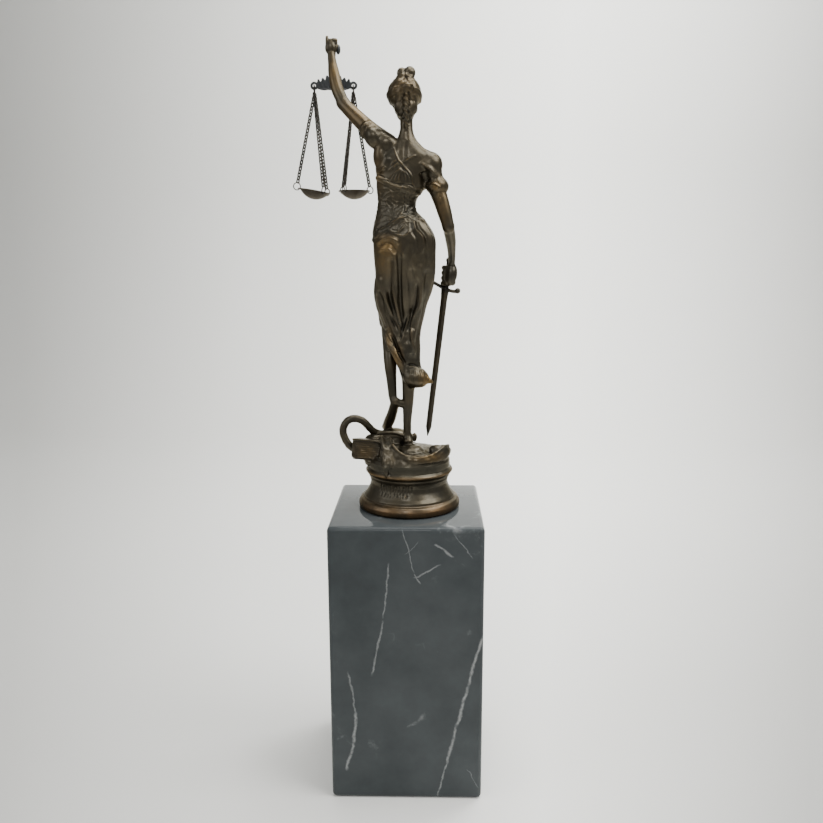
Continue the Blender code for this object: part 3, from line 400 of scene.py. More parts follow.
# Limbs through x, y, z and radius, and ellipsoids: middle, half sizes and turn
FORMS = [
    # Head
    ("hair", -1.1, 1.8, 268, 10.8, 10.8, 10.2),
    ("face", -1, 6.4, 263.6, 7.4, 8, 11.6),
    ("jaw", -1, 7.6, 256.8, 5.6, 5.8, 5.2),
    ("nape_hair", -0.1, -1.6, 259, 7.2, 6.4, 7.4),
    ("bun_base", -0.7, 0.6, 276, 6, 5.2, 4.2),
    ("bun_left", -2.9, 0.8, 279.6, 3.1, 3.2, 3.3),
    ("bun_right", 2, 0.8, 279.8, 3.7, 3.7, 3.9),
    ("nose", -1, 14.2, 261.6, 1.3, 2, 2.6),
    ("knot", 1, -8.6, 269.6, 3, 2.3, 3),
    ("tail", [(0.6, -8, 267, 2), (0, -8.4, 259.6, 1.8), (-0.4, -6.4, 253, 1.7),
        (-0.2, -4.4, 247, 1.2)]),
    ("neck", [(-0.3, 2.4, 258, 4.4), (0, 1.2, 250, 3.8), (0.1, 0.4, 241, 4.4)]),
    # Face below the blindfold
    ("nose_ridge", [(-1, 13.6, 265.4, 0.9), (-1, 15, 262.2, 1.05), (-1, 15.6, 260.4, 1.25)]),
    ("upper_lip", -1, 13.7, 257.7, 2, 1.1, 0.62),
    ("lower_lip", -1, 13.4, 256.3, 1.7, 1.15, 0.72),
    ("chin", -1, 11.9, 253, 2.3, 2.2, 2),
    # Knot, hem puff and soft fillings
    ("knot_tail", [(1.4, -9.4, 268.6, 0.9), (-0.2, -9.8, 265.6, 0.9), (0.8, -9.8, 262.4, 0.85),
        (-0.8, -9.4, 259.2, 0.8), (0, -8.4, 256, 0.7)]),
    ("puff", 6, -6.2, 88.6, 8.8, 6, 6.6, (0, 0.2, 0)),
    ("bun_middle", -0.6, 0.4, 278.6, 4.4, 2.8, 3),
    ("right_cape", [(2, -0.6, 233.4, 4.6), (8.6, -0.8, 230.4, 5.2), (13.6, -0.6, 226.6, 6.4)]),
    ("left_elbow", -40.6, 13.2, 263.8, 4.6, 4.5, 4.6),
    ("right_elbow", 26.7, -4.2, 186, 4.3, 4.3, 4.6),
    # Raised arm
    ("left_upper_arm", [(-12, 0, 237, 6.8), (-21.6, 3, 244.6, 5.7), (-32.4, 8.6, 255.2, 4.6),
        (-41.7, 13.6, 264.5, 4.2)]),
    ("left_forearm", [(-39.8, 12.6, 262.7, 4.1), (-44.5, 15.8, 271, 4.1), (-46.9, 19, 281, 3.9),
        (-48.5, 22.6, 290, 3.1), (-49.2, 24, 295.4, 2.7)]),
    ("left_palm", -49.7, 24.8, 300.2, 3.7, 2.7, 4.6),
    ("left_thumb", [(-47.8, 25.2, 298.4, 1.4), (-46.3, 26.4, 300.6, 1.25), (-45.9, 27.4, 302.2, 1.1)]),
    ("left_pointer", [(-51.9, 25, 302.4, 1.2), (-52.2, 25.2, 306, 1.1), (-52, 25.4, 307.4, 0.9)]),
    ("left_sleeve", -20.2, 1.6, 241.4, 6.2, 8, 7.8, (0, -0.66, 0)),
    ("left_shoulder", -12.8, 0, 236.9, 8, 6.8, 5.6, (0, 0.5, 0)),
    ("left_sleeve_band", [(-23.4, 1, 250.6, 1.2), (-26.4, -2.2, 249, 1.9), (-28.4, 0.6, 244.4, 1.9),
        (-27, 5.4, 241.6, 1.8), (-23.6, 6.6, 242.6, 1.2)]),
    ("left_flank", -15.8, 0.2, 230, 5.4, 6.6, 9.6),
    # Sword arm
    ("right_shoulder", 15.1, -0.6, 224.2, 7.9, 7.8, 8.4),
    ("right_upper_arm", [(15.4, -0.8, 222, 6.8), (19.5, -1.8, 209, 5.3), (23.8, -3.6, 197, 4.7),
        (26.8, -4.4, 185.5, 4)]),
    ("right_forearm", [(26.6, -4.2, 186.4, 3.9), (28.2, 3, 180, 3.8), (29.2, 11, 173, 3.2),
        (29.6, 17.6, 166.8, 2.5), (29.7, 19.6, 163.4, 2.6)]),
    ("right_sleeve", 19.2, -1.2, 211.6, 7.8, 7.8, 6.4, (0, 0.25, 0)),
    ("right_fist", 29, 21.2, 155.4, 4.5, 4.8, 8, (-0.1, 0.13, 0)),
    ("fist_heel", 30.2, 21.6, 150.2, 2.4, 3.2, 2.6),
    # Legs
    ("left_thigh", [(-9, 2, 174, 11.5), (-12, 9, 150, 9.6), (-13.4, 14, 131, 7),
        (-13.2, 14.6, 124, 6.2)]),
    ("left_shin", [(-12.8, 13.4, 127, 5.6), (-11.8, 6.6, 110, 4.8), (-11.4, 1.6, 97, 4.3),
        (-10.3, -0.8, 84, 3.1), (-9.6, -1.2, 74, 2.9)]),
    ("left_foot", [(-8, -3, 72.4, 3.2), (-9.9, 3, 64, 3.2), (-12.5, 9.2, 56.6, 3.8),
        (-14.6, 14.2, 52, 3.3), (-16.2, 17.2, 50.8, 2.2)]),
    ("heel_web", [(-7.6, -2.6, 71.8, 2.9), (-1.4, -1.4, 69.8, 2.7)]),
    ("right_leg", [(5, 1, 150, 10), (3.2, 1.8, 124, 6.4), (1.8, 0, 104, 5.4), (1, -1.2, 90, 4.9),
        (0.8, -1.2, 80, 4.2), (0.3, -1, 66, 3.3), (-0.3, -0.8, 56, 2.6), (0.2, -1.4, 47, 2.9)]),
    ("right_foot", [(0.6, -3.4, 45, 3.3), (0.2, 4, 47.4, 3.2), (-0.4, 13, 45.4, 3.4),
        (-0.8, 20, 43.8, 2.8), (-0.8, 23.4, 43.4, 2)]),
    # Dress
    ("bodice_roll", [(-17.6, -6, 216, 2), (-8, -8.8, 211.4, 1.7), (2, -8.6, 207.6, 1.5),
        (8.4, -3, 206, 1)]),
    ("hip_swag", [(-20.4, -2, 178, 2.2), (-12, -11.6, 174.6, 2.6), (0, -13, 180, 2.2),
        (7, -9.8, 187, 1.7), (11, -4, 190, 1.2)]),
    ("hip_swag_low", [(-19.6, 1, 170, 2), (-12, -10.8, 166, 2.4), (-3, -12.8, 171, 2),
        (5, -10.4, 178, 1.2)]),
    ("side_fold", [(-19.6, 1, 153, 1.4), (-20.4, 2, 146, 1.9), (-19.6, 3.4, 137, 1.8),
        (-17, 4.6, 128, 1.4)]),
    ("hem_puff", 6.6, -5, 91, 7.9, 6, 4.7, (0, 0.25, 0)),
    ("hem_inner", -3.6, -1.4, 97.4, 3.4, 4.6, 3.6),
    ("hem_tip", [(9, -6, 88.4, 3.8), (13.2, -6, 87, 2.4), (16.6, -5.6, 86, 1.2)]),
    ("hem_edge", [(-15.4, 6, 121, 1.6), (-13.4, -3.4, 114, 1.7), (-9, -6.4, 106, 1.8),
        (-4.4, -6.6, 98, 2.3), (-0.2, -6.6, 91, 1.8)]),
    ("front_hem", [(-15.6, 16, 120, 1.9), (-8, 15.6, 110, 2), (2, 9.8, 100, 2), (9, 4, 92, 1.8)]),
    # Snake
    ("snake", [(-12, 17, 47.2, 2.3), (-18, 10, 46.8, 2.5), (-24, 7, 49.4, 2.6), (-30.8, 5, 58.6, 2.6),
        (-40, 3.4, 59.6, 2.6), (-44.8, 1.8, 52, 2.6), (-41.4, 0.8, 43, 2.6), (-35.8, 1.4, 37.6, 2.6),
        (-26, 6, 34, 2.6)]),
    ("snake_ground", -21.6, 8.6, 44, 8, 5.4, 4),
    ("snake_front", [(-12, 17, 46.6, 2.2), (-6, 25, 40, 2.2), (6, 28, 34, 2.3), (18, 23.6, 32, 2.4),
        (26.6, 13, 34.4, 2.6)]),
    ("snake_head", 27.4, 10.6, 35.4, 2.6, 4.4, 2.4),
    # Ground and drapery on the base
    ("ground_left", -13, 3, 35, 14.6, 19, 8.6),
    ("book_foot", -24.4, -1, 31.6, 4.8, 10, 4.2),
    ("ground_toes", -8.4, 10, 43.4, 10.6, 9.6, 8),
    ("ground_right", 14, 2, 35, 14, 20, 4.6),
    ("ground_knob_a", 19.4, -9, 41, 5, 4.2, 3.2),
    ("ground_knob_b", 24, -6.6, 40.4, 4, 5, 3.4),
    ("leg_mound", 2.4, -6, 39, 9, 9, 4.6),
    ("ground_fill", 21, -10.4, 37.4, 6, 6, 4.6),
    ("leaf", 4.6, 2.6, 46.6, 2, 1.4, 3.2),
    ("drape", [(-17, -8, 47.6, 2.2), (-15.6, -15, 45.4, 2.6), (-14.4, -20.4, 39.6, 2.6),
        (-13.4, -24, 32.6, 2.2), (-13, -25.6, 27.6, 1.4)]),
    ("drape_inner", [(-12, -9, 47.2, 2.2), (-11, -16, 45, 2.4), (-10.2, -21, 39, 2.4),
        (-9.6, -24.4, 33.6, 1.8)]),
    ("drape_fill", -13, -14, 39, 5.6, 8.6, 6.6),
    ("drape_arc", [(-19.6, -3, 50.4, 1.2), (-13, -5, 51.6, 1.4), (-6, -3, 50.6, 1.4),
        (-1, -2, 47.6, 1.2)]),
]
# Broad folds: side, width, depth, and points of x and height
STROKES = [
    ("back", 2.3, -1.7, [(-2.6, 166), (-3.2, 150), (-3, 134), (-2.2, 118)]),
    ("back", 2, 0.9, [(-6.4, 166), (-7.4, 150), (-6.8, 132), (-4.6, 118)]),
    ("back", 1.9, -1.1, [(-10.4, 164), (-11.2, 148), (-9.6, 132), (-6, 116)]),
    ("back", 2, 0.9, [(-16.8, 152), (-13.4, 136), (-8, 120), (-4.6, 110)]),
    ("back", 1.8, -1.1, [(-18.8, 144), (-15.4, 130), (-10, 117), (-6, 108)]),
    ("back", 2.4, 1.2, [(8.4, 160), (9.2, 148), (7.8, 132), (4.4, 120), (3.4, 106)]),
    ("back", 2.2, -1.2, [(4, 158), (4, 144), (2.4, 128), (0.6, 114)]),
    ("back", 2.4, -1, [(13.4, 156), (13, 142), (10, 128), (6.6, 114), (6.6, 100)]),
    ("back", 1.3, 0.7, [(-19.8, 180), (-10, 185), (0, 197)]),
    ("back", 1.4, -0.6, [(-0.6, 238), (-1.4, 224), (-3.4, 212)]),
    ("front", 2.4, -1.6, [(4, 176), (2.6, 150), (0, 124), (2, 104)]),
    ("front", 2.4, 1.2, [(9, 174), (8, 150), (5.6, 126), (6, 104)]),
    ("front", 2.2, -1.3, [(13.4, 170), (12.4, 150), (9, 128)]),
    ("front", 2.2, -1.3, [(-4, 176), (-6, 154), (-7, 132), (-5, 118)]),
    ("front", 2.2, 1, [(-9, 178), (-10.6, 158), (-11.6, 138)]),
]
# Fine folds of the back: width, depth, and points of x and height
FINE = [
    (0.5, 0.8, [(-9.2, 237.5), (-5.1, 227.2), (-3.4, 225), (0.5, 220.6), (3.4, 216.7), (4, 212.3),
        (7.4, 208.5)]),
    (0.5, 0.7, [(6.8, 229.8), (1.7, 227.4), (-3.4, 225)]),
    (0.5, 0.5, [(-3.2, 224.7), (-7.6, 222.9), (-11.4, 219.9)]),
    (0.9, 1, [(-19.3, 219.2), (-15.8, 220.3), (-12.6, 223)]),
    (0.5, -0.7, [(-17.1, 215.1), (-12.7, 214.2), (-5.1, 212.3), (3, 211.4), (6.8, 208.3)]),
    (0.6, 0.4, [(-17.1, 213), (-12.7, 212.1), (-5.2, 210.2), (2.4, 209.3), (5.5, 206.5)]),
    (1.2, 1.2, [(7.4, 224.9), (11.2, 223.3), (15.2, 221.2), (18.1, 217.6), (20, 214.5)]),
    (2.6, -1.7, [(9.9, 220), (11.8, 215.8), (13.7, 212.7)]),
    (2.4, 0.7, [(9.3, 226.6), (14.3, 221.7), (17.4, 216.9)]),
    (2.4, 0.6, [(-10.7, 229.7), (-13.9, 224.9), (-15.2, 219.4)]),
    (1.6, -0.5, [(-2.5, 241.6), (-2.6, 232.6), (-3.2, 226.6)]),
    (0.4, -0.4, [(-0.8, 209), (-1.1, 199.2), (-2.1, 191.3)]),
    (0.6, 0.9, [(-20.7, 181.1), (-11.5, 186.7), (-5.2, 190.5), (0, 192.2), (2.8, 193.9)]),
    (0.5, -0.4, [(-19.8, 178.6), (-13.4, 182.9), (-6.4, 187.2), (-0.7, 191.1)]),
    (0.5, 0.7, [(-12.1, 185.6), (-9.6, 182.8), (-6.9, 181.4), (-2.3, 180.2), (1.1, 181.6),
        (1.8, 184.9)]),
    (0.46, 0.75, [(-11.4, 185), (-7.7, 182.5), (-3.9, 183.1), (-1.4, 186.8)]),
    (0.45, 0.45, [(-0.7, 193), (3.7, 192), (8.7, 190.5), (13.7, 186.2)]),
    (1.03, 1.05, [(-19.7, 175.1), (-15.9, 177.3), (-11.5, 178.8), (-7.1, 177.6), (-3.9, 173.9)]),
    (0.92, -0.9, [(-19.8, 173), (-15.9, 174.8), (-12.1, 175.7), (-8.4, 173.9), (-5.2, 168.9)]),
    (0.92, 0.75, [(-19.2, 170.2), (-15.3, 172), (-11.5, 172), (-8.4, 168.9), (-6.5, 162.7)]),
    (1.3, -0.95, [(-3.9, 180), (-5.2, 171.4), (-4.6, 162.7), (-4.1, 149.5), (-3.8, 133.7),
        (-2.3, 117.6)]),
    (1.03, 0.9, [(-1.4, 177.6), (-2.1, 166.4), (-2.5, 152.7), (-2.2, 140), (-1.6, 128.5)]),
    (1.5, -0.8, [(3, 177.6), (0.4, 170.1), (0.4, 160.2), (2.3, 149.5), (1.6, 138)]),
    (1.15, 0.75, [(6.8, 173.2), (3.6, 167.6), (4.9, 158.9), (8, 150.7)]),
    (0.92, 1.35, [(9.3, 153.8), (9, 144.9), (8, 136.6), (4.1, 127), (3.1, 120.6), (3.8, 110.8),
        (6.7, 98.4)]),
    (0.92, -1.05, [(6.7, 152.5), (6.1, 143.7), (4.8, 136), (1.2, 127)]),
    (1.3, 0.6, [(15, 177.6), (17.6, 168.2), (17, 155.6), (13.8, 144.8)]),
    (0.8, 0.9, [(4.6, 191.1), (5.7, 184.3), (9.7, 179.9), (10.9, 174.3), (9.3, 167.6)]),
    (0.9, -0.8, [(6.5, 191.7), (8.1, 185.6), (12.5, 180), (13.7, 171.3)]),
    (0.9, 0.7, [(8, 192.4), (11.8, 187.4), (15.6, 180), (16.9, 172.6)]),
    (0.8, -0.7, [(3, 189.9), (4, 183.1), (6.8, 177.6), (7.7, 168.9)]),
    (0.5, 0.6, [(-9.5, 222.3), (-8.2, 225.3), (-5.7, 226.5)]),
    (0.5, 0.6, [(-7.6, 221.7), (-6.6, 224.1), (-4.4, 225)]),
    (1.1, -0.5, [(11.8, 174.5), (13.7, 165.1), (13.1, 153.8), (10.6, 143.6)]),
    (0.92, 1.05, [(2.8, 132.7), (0.2, 126.3), (-1.8, 119.8), (-3.8, 111.4)]),
    (0.92, -1.35, [(0.5, 130.2), (-2.4, 120.5), (-4.7, 112.7)]),
    (1.03, 1.35, [(-19.3, 148), (-19, 140.9), (-16.8, 133.1), (-13.6, 125.3), (-11.7, 118.8)]),
    (1.15, -1.2, [(-17.8, 145.5), (-15.9, 138.5), (-12.8, 132), (-8.9, 125.6), (-4.4, 117.8)]),
    (0.92, 1.05, [(-14.6, 146.8), (-13, 139.1), (-10.2, 132), (-6.3, 124.3), (-3.1, 117.8)]),
    (1.15, -1.2, [(-11.9, 148.1), (-10.4, 139.2), (-7.5, 130.2), (-3.1, 118.5)]),
    (0.92, 1.05, [(-9.3, 151.3), (-7.5, 141.1), (-5.3, 130.8), (-2.4, 119.8)]),
    (0.6, 0.6, [(-14.5, 119.7), (-13.2, 121.3), (-11.6, 120.3), (-12.3, 118.3), (-13.9, 118)]),
    (1.03, 1.5, [(-12.9, 119.6), (-9.7, 112.5), (-7.5, 105.2), (-3.9, 98.7), (-0.6, 95.7)]),
    (0.92, -1.2, [(-10.3, 117.7), (-7.1, 110.5), (-4.5, 103.3), (-0.6, 98)]),
    (0.8, 0.75, [(-7, 115.8), (-4.4, 109.3), (-1.9, 102.7), (1.4, 98.1)]),
    (0.7, -1.3, [(-1.2, 97.1), (2.7, 97.8), (6.6, 97.1), (10.6, 94.5)]),
    (0.7, 0.6, [(-0.6, 95), (4, 96), (8.6, 94.6), (13.2, 91.7)]),
    (1.2, 0.4, [(20, 207.3), (21.9, 199.3), (25.1, 190)]),
]


def finer(rows, times=6):
    """Rows with soft rows worked out between them."""
    table = np.array(rows)
    result = []
    for i in range(len(table) - 1):
        before = table[max(i - 1, 0)]
        first, second = table[i], table[i + 1]
        after = table[min(i + 2, len(table) - 1)]
        for k in range(times):
            share = k / times
            result.append(0.5 * (2 * first + (second - before) * share
                                 + (2 * before - 5 * first + 4 * second - after) * share ** 2
                                 + (3 * first - before - 3 * second + after) * share ** 3))
    result.append(table[-1])
    return [tuple(row) for row in result]


def limb(name, rows):
    """A round limb through rows of x, y, z and radius."""
    return tube(name, [(fig(x, y, z), r * U) for x, y, z, r in rows],
                sides=LIMB_SIDES, steps=LIMB_STEPS)


def lump(name, x, y, z, rx, ry, rz, turn=(0, 0, 0)):
    """An ellipsoid of the figure."""
    return [ball(name, fig(x, y, z), (rx * U, ry * U, rz * U), turn=turn)]


def book():
    """The pages, the rounded spine and the two boards of the closed book."""
    turn = (-0.20, 0.04, -0.20)
    parts = [block("pages", fig(-25.2, -1.6, 39.2), (20.4 * U, 18.6 * U, 12.2 * U), turn),
             block("spine", fig(-31, -0.6, 39.2), (10.4 * U, 18.9 * U, 13.4 * U), turn,
                   edge=3.2 * U, steps=3)]
    for rise, thick in ((-6.5, 2.2), (6.5, 1.4)):
        parts.append(block("board", fig(-24.6, -1.8 - rise * 0.20, 39.2 + rise),
                           (21 * U, 19.2 * U, thick * U), turn))
    return parts


def cloth_band():
    """The cloth laid over the base's edge, a leaning band."""
    rows = finer(CLOTH, 5)
    sections = []
    for x, y, low, high in rows:
        away = Vector((x - BASE_AXIS_X, y, 0)).normalized()
        middle = (low + high) / 2
        reach = (high - low) / 2 + 0.6
        ring = []
        for i in range(20):
            angle = 2 * math.pi * i / 20
            off = 1.5 * math.cos(angle) - 0.22 * reach * math.sin(angle)
            ring.append(fig(x + away.x * off, y + away.y * off, middle + reach * math.sin(angle)))
        sections.append(ring)
    return loft("cloth", sections)


def figure_parts():
    """Every body of the casting."""
    parts = []
    for name, *values in FORMS:
        form = limb if isinstance(values[0], list) else lump
        parts += form(name, *values)
    for side in (-1, 1):
        parts += lump("nostril", -1 + side * 1.05, 14.2, 260, 0.85, 1, 0.75)
        parts += lump("cheek", -1 + side * 3.9, 9.9, 260.6, 2.7, 3.2, 3)
        parts += lump("ear", -1 + side * 7.3, 4.2, 261.6, 0.9, 1.4, 2)
    curl = []
    for i in range(9):
        angle = math.radians(-100 + 40 * i)
        radius = 2 - 0.12 * i
        curl.append((1.5 + radius * math.cos(angle), -9.6 - 0.08 * i,
                     270.6 + radius * math.sin(angle), 0.85))
    parts += limb("knot_curl", curl)
    for offset, rise in ((-2.3, 1), (-0.4, 1.6), (1.5, 1.9), (3.1, 1.7)):
        parts += limb("left_finger", [(-49.4 + offset, 24.6, 303 + rise, 1.3),
                                      (-49.6 + offset, 27, 304.6 + rise, 1.2),
                                      (-49.5 + offset, 28.2, 301.4 + rise, 1.05)])
    turn = SWORD_AXIS.to_track_quat("Z", "Y").to_matrix()
    for step in range(4):
        middle = SWORD_TOP + SWORD_AXIS * ((7.2 + 3.5 * step) * U)
        parts.append(torus("right_finger", middle, (2.6 - 0.14 * step) * U, 1.75 * U, turn, 16, 8))
    for name, rows in (("torso", TORSO), ("train", TRAIN)):
        parts.append(loft(name, [oval(x, y, z, w, d) for z, x, y, w, d in finer(rows)]))
    for x in (-9.4, 6.2):
        parts += lump("bust", x, 8.8, 217.4, 6.8, 6.2, 6.6)
    parts += book()
    profile = [(r * U, h * U) for r, h in reversed(BASE_PROFILE)]
    parts.append(turned("base", profile, fig(BASE_AXIS_X, 0, 0), 160))
    parts.append(torus("lip", fig(BASE_AXIS_X, 0, 25.7), 28.6 * U, 0.9 * U,
                       Matrix.Identity(3), 160, 12))
    parts.append(cloth_band())
    parts += limb("cloth_rim", [(x, y, high, 1) for x, y, _, high in CLOTH])
    return parts


def mesh_arrays(mesh):
    """Vertex places in metres and their normals."""
    arrays = []
    for kind in ("co", "normal"):
        values = np.empty(len(mesh.vertices) * 3)
        mesh.vertices.foreach_get(kind, values)
        arrays.append(values.reshape(-1, 3))
    return arrays


def world_units(obj):
    """Figure units and normals of a mesh."""
    places, normals = mesh_arrays(obj.data)
    units = places / U
    units[:, 2] = (places[:, 2] - PLINTH_HEIGHT) / U
    return units, normals


def push(obj, distances, top=math.inf):
    """Move each vertex along its normal, and none above the top."""
    places, normals = mesh_arrays(obj.data)
    places += normals * distances[:, None]
    places[:, 2] = np.minimum(places[:, 2], top)
    obj.data.vertices.foreach_set("co", places.ravel())
    obj.data.update()


def ridge(distance, width):
    """A soft rounded profile."""
    return np.exp(-(distance / width) ** 2)


def soft_gate(value, width=1):
    """Nothing below zero and all above the width, with an even rise between."""
    return np.clip(value / width, 0, 1)


def along_path(points, path):
    """Least distance in the plane from each point to a path, and the share of its length."""
    dots = np.array(path, float)
    steps = np.diff(dots, axis=0)
    spans = np.linalg.norm(steps, axis=1)
    best = np.full(len(points), 1e9)
    share = np.zeros(len(points))
    passed = 0
    for start, step, span in zip(dots, steps, spans):
        reach = np.clip(((points - start) @ step) / span ** 2, 0, 1)
        gap = np.linalg.norm(points - start - reach[:, None] * step, axis=1)
        closer = gap < best
        best[closer] = gap[closer]
        share[closer] = (passed + reach[closer] * span) / spans.sum()
        passed += span
    return best, share


def fan_strokes():
    """Rows of small strokes worked out by loops: pleats, swags, hem gathers, front folds."""
    strokes = []
    for i in range(7):
        x = -12.4 + i * 2.5
        strokes.append(("back", 0.5, 0.6, [(-3.6 + i * 0.2, 222.6 - abs(i - 2) * 0.6),
                                            (x * 0.62 - 1, 218), (x, 213.4)]))
    for i in range(10):
        x = 0.6 + i * 1.55
        strokes.append(("back", 0.4, -0.32, [(x * 0.7 + 1.6, 95 - abs(i - 4) * 0.2),
                                             (x + 0.4, 91), (x * 0.96 + 0.8, 86.6)]))
    for i in range(4):
        x = 18.6 + i * 1.3
        strokes.append(("back", 0.4, 0.4, [(14.4, 211.4 + i * 0.9), (x, 212.4 - i * 1.1),
                                           (x + 1, 208.4 - i * 0.6)]))
    for i in range(8):
        x = -15 + i * 4.4
        top = 182 - 0.06 * (x + 2) ** 2
        strokes.append(("front", 0.9, 0.6 if i % 2 else -0.6, [
            (x, top), (x * 0.9 - 1, 150), (x * 0.7 - 2, 124), (x * 0.55 - 1, 104)]))
    for i in range(5):
        drop = i * 3.2
        strokes.append(("front", 0.8, 0.55 - i * 0.07, [
            (-20, 180 - drop), (-8, 173 - drop), (4, 173 - drop), (15, 181 - drop)]))
    for i in range(6):
        x = -12 + i * 4.6
        strokes.append(("front", 0.5, -0.4, [(x, 226), (x * 0.9 - 0.6, 216),
                                             (x * 0.6 - 2.4, 207)]))
    return strokes


def engraved_rows():
    """Shallow slanted strokes, two rows that are no letters, on the base's waist."""
    strokes = []
    for row in range(2):
        count = 12 - row * 3
        for i in range(count):
            x = -19.4 + i * 2.05 + row * 2.6
            low = 15.6 - row * 2.9
            high = low + (4 if row == 0 else 1.6) + 0.6 * math.sin(i * 2.1 + row)
            lean = 0.5 * math.sin(i * 1.7)
            strokes.append([(x, low), (x + lean + 0.5, high)])
    return strokes


def apply_strokes(shift, units, normals, strokes, gate):
    """Add strokes to the shift, fading at their ends; only points near each are worked on."""
    plane = units[:, [0, 2]]
    for side, width, depth, path in strokes:
        dots = np.array(path, float)
        low = dots.min(axis=0) - width * 3
        high = dots.max(axis=0) + width * 3
        near = np.all((plane > low) & (plane < high), axis=1) & gate
        facing = -normals[:, 1] if side == "back" else normals[:, 1]
        near &= facing > 0.05
        spot = np.where(near)[0]
        if not len(spot):
            continue
        distance, share = along_path(plane[spot], finer(path, 4))
        fade = np.clip(np.minimum(share, 1 - share) / 0.22, 0, 1)
        fade = fade * fade * (3 - 2 * fade)
        weight = np.clip(facing[spot] * 2.2, 0, 1) * fade
        shift[spot] += depth * ridge(distance, width) * weight


def carve(obj):
    """Press the broad folds into the cloth and raise the band over the eyes."""
    units, normals = world_units(obj)
    x, y, z = units.T
    shift = np.zeros(len(units))
    torso = (x > -23.5) & (x < 21)
    for side, width, depth, path in STROKES:
        facing = -normals[:, 1] if side == "back" else normals[:, 1]
        gate = np.clip(facing * 1.6, 0, 1) * torso
        distance, _ = along_path(units[:, [0, 2]], path)
        shift += depth * ridge(distance, width) * gate
    head = (z > 252) & (np.abs(x + 1) < 12) & (np.abs(y) < 18)
    shift -= 0.8 * ridge(x + 0.2, 1.1) * (y < 0) * (z > 273) * (z < 277) * head
    band = np.clip(2.6 - np.abs(z - BAND_HEIGHT + 0.35 * y), 0, 0.7) / 0.7
    shift += 0.6 * band * head
    hem = ridge(z - 89, 5) * np.clip(2 - y, 0, 1) * np.clip(x, 0, 1)
    shift += 0.35 * hem * np.sin(x * 1.35)
    push(obj, shift * U)


def carve_corset(shift, x, y, z):
    """Brocade of vines and leaves on the corset."""
    corset = soft_gate(z - 185 - 0.45 * x, 2) * soft_gate(211 - z, 1.5)
    corset *= (x > -21) & (x < 13) & (np.abs(y) < 14)
    around = np.arctan2(y, x + 5.9) * 10
    vine = np.sin(0.95 * around + 1.9 * np.sin(0.75 * z)) + np.sin(1.1 * z + 1.7 * np.sin(0.65 * around))
    leaf = np.sin(1.9 * around + 0.9 * z) * np.sin(1.6 * z - 0.6 * around)
    shift += corset * (0.30 * np.exp(-(vine / 0.32) ** 2) + 0.12 * np.clip(leaf, 0, 1) - 0.12)


def carve_hair(shift, x, y, z):
    """Thick strands swept from the brow to the knot, parted down the middle."""
    head = (z > 252.5) & (np.abs(x + 1) < 13) & (np.abs(y - 2) < 14) & (z < 275.5)
    face = soft_gate(y - 6.4, 1.2) * soft_gate(271.4 - z)
    off = np.abs(x + 0.4)
    sweep = 0.90 * off + 0.50 * (z - 262) - 0.028 * off * (z - 262)
    lock = np.sin(1.65 * sweep + 0.5 * np.sin(0.35 * z + 0.3 * x))
    strand = np.sin(4.6 * sweep + 0.8 * np.sin(0.5 * z))
    shift += head * (1 - face) * (0.24 * lock + 0.06 * strand) * soft_gate(off, 1.6)


def carve_blindfold(shift, x, y, z):
    """The band over the eyes with two creases."""
    scalp = (z > 252) * (np.abs(x + 1) < 12.5) * (z < 275)
    band = BAND_HEIGHT - 0.35 * y
    shift += scalp * (0.22 + 0.13 * (y > 3)) * soft_gate(2.6 - np.abs(z - band))
    shift -= scalp * 0.10 * (ridge(z - band + 0.9, 0.3) + ridge(z - band - 0.8, 0.3))


def carve_knot(shift, x, y, z):
    """The plaited tail and the two locks of the bun."""
    tail = (z < 266) & (z > 248) & (np.abs(x - 0.2) < 2.4) & (y < -2.5)
    shift += tail * 0.28 * np.sin(1.9 * z + 1.3 * np.sign(x - 0.1) * np.abs(x - 0.1))
    for middle_x, middle_z, way in ((-2.9, 279.6, 1), (2, 279.8, -1)):
        gap = np.hypot(x - middle_x, z - middle_z)
        near = soft_gate(4.8 - gap, 0.8) * (z > 275.4)
        shift += near * 0.14 * np.sin(2.2 * gap + way * np.arctan2(z - middle_z, x - middle_x))


def carve_base(shift, units):
    """Rows of strokes on the base's waist, crisp lines round its lip and foot."""
    x, y, z = units.T
    plane = units[:, [0, 2]]
    waist = (y < -18) & (z < 21) & (z > 9)
    for path in engraved_rows():
        reach = [dot[0] for dot in path]
        spot = np.where(waist & (x > min(reach) - 1.5) & (x < max(reach) + 1.5))[0]
        distance, _ = along_path(plane[spot], path)
        shift[spot] -= 0.40 * ridge(distance, 0.34)
    drum = np.hypot(x - BASE_AXIS_X, y) > 24.5
    for level, depth in ((23, 0.5), (28, 0.35), (7.9, 0.45), (32.6, -0.25)):
        shift -= drum * depth * ridge(z - level, 0.7)


def carve_snake(shift, x, y, z):
    """The scales of the coiled snake."""
    coil = (x < -19) & (z > 41) & (z < 64) & (y > -4) & (np.hypot(x + 35, z - 50) < 16)
    coil &= (z > 47) | (x < -38.5)
    turn = np.arctan2(z - 50, x + 35) * 11
    shift += coil * 0.10 * np.sin(2.2 * turn) * np.sin(2.4 * y + 1.1 * turn)


def carve_book(shift, x, y, z, facing):
    """The edges of the pages, a little inside the covers."""
    level = z - 39.6 + 0.04 * (x + 26)
    pages = soft_gate(4.6 - np.abs(level), 0.5) * soft_gate(9.4 - np.abs(x + 25.4), 0.5)
    pages *= (y < -7) & (facing > 0.4)
    shift += pages * (0.09 * np.sin(4.6 * level) - 0.55)


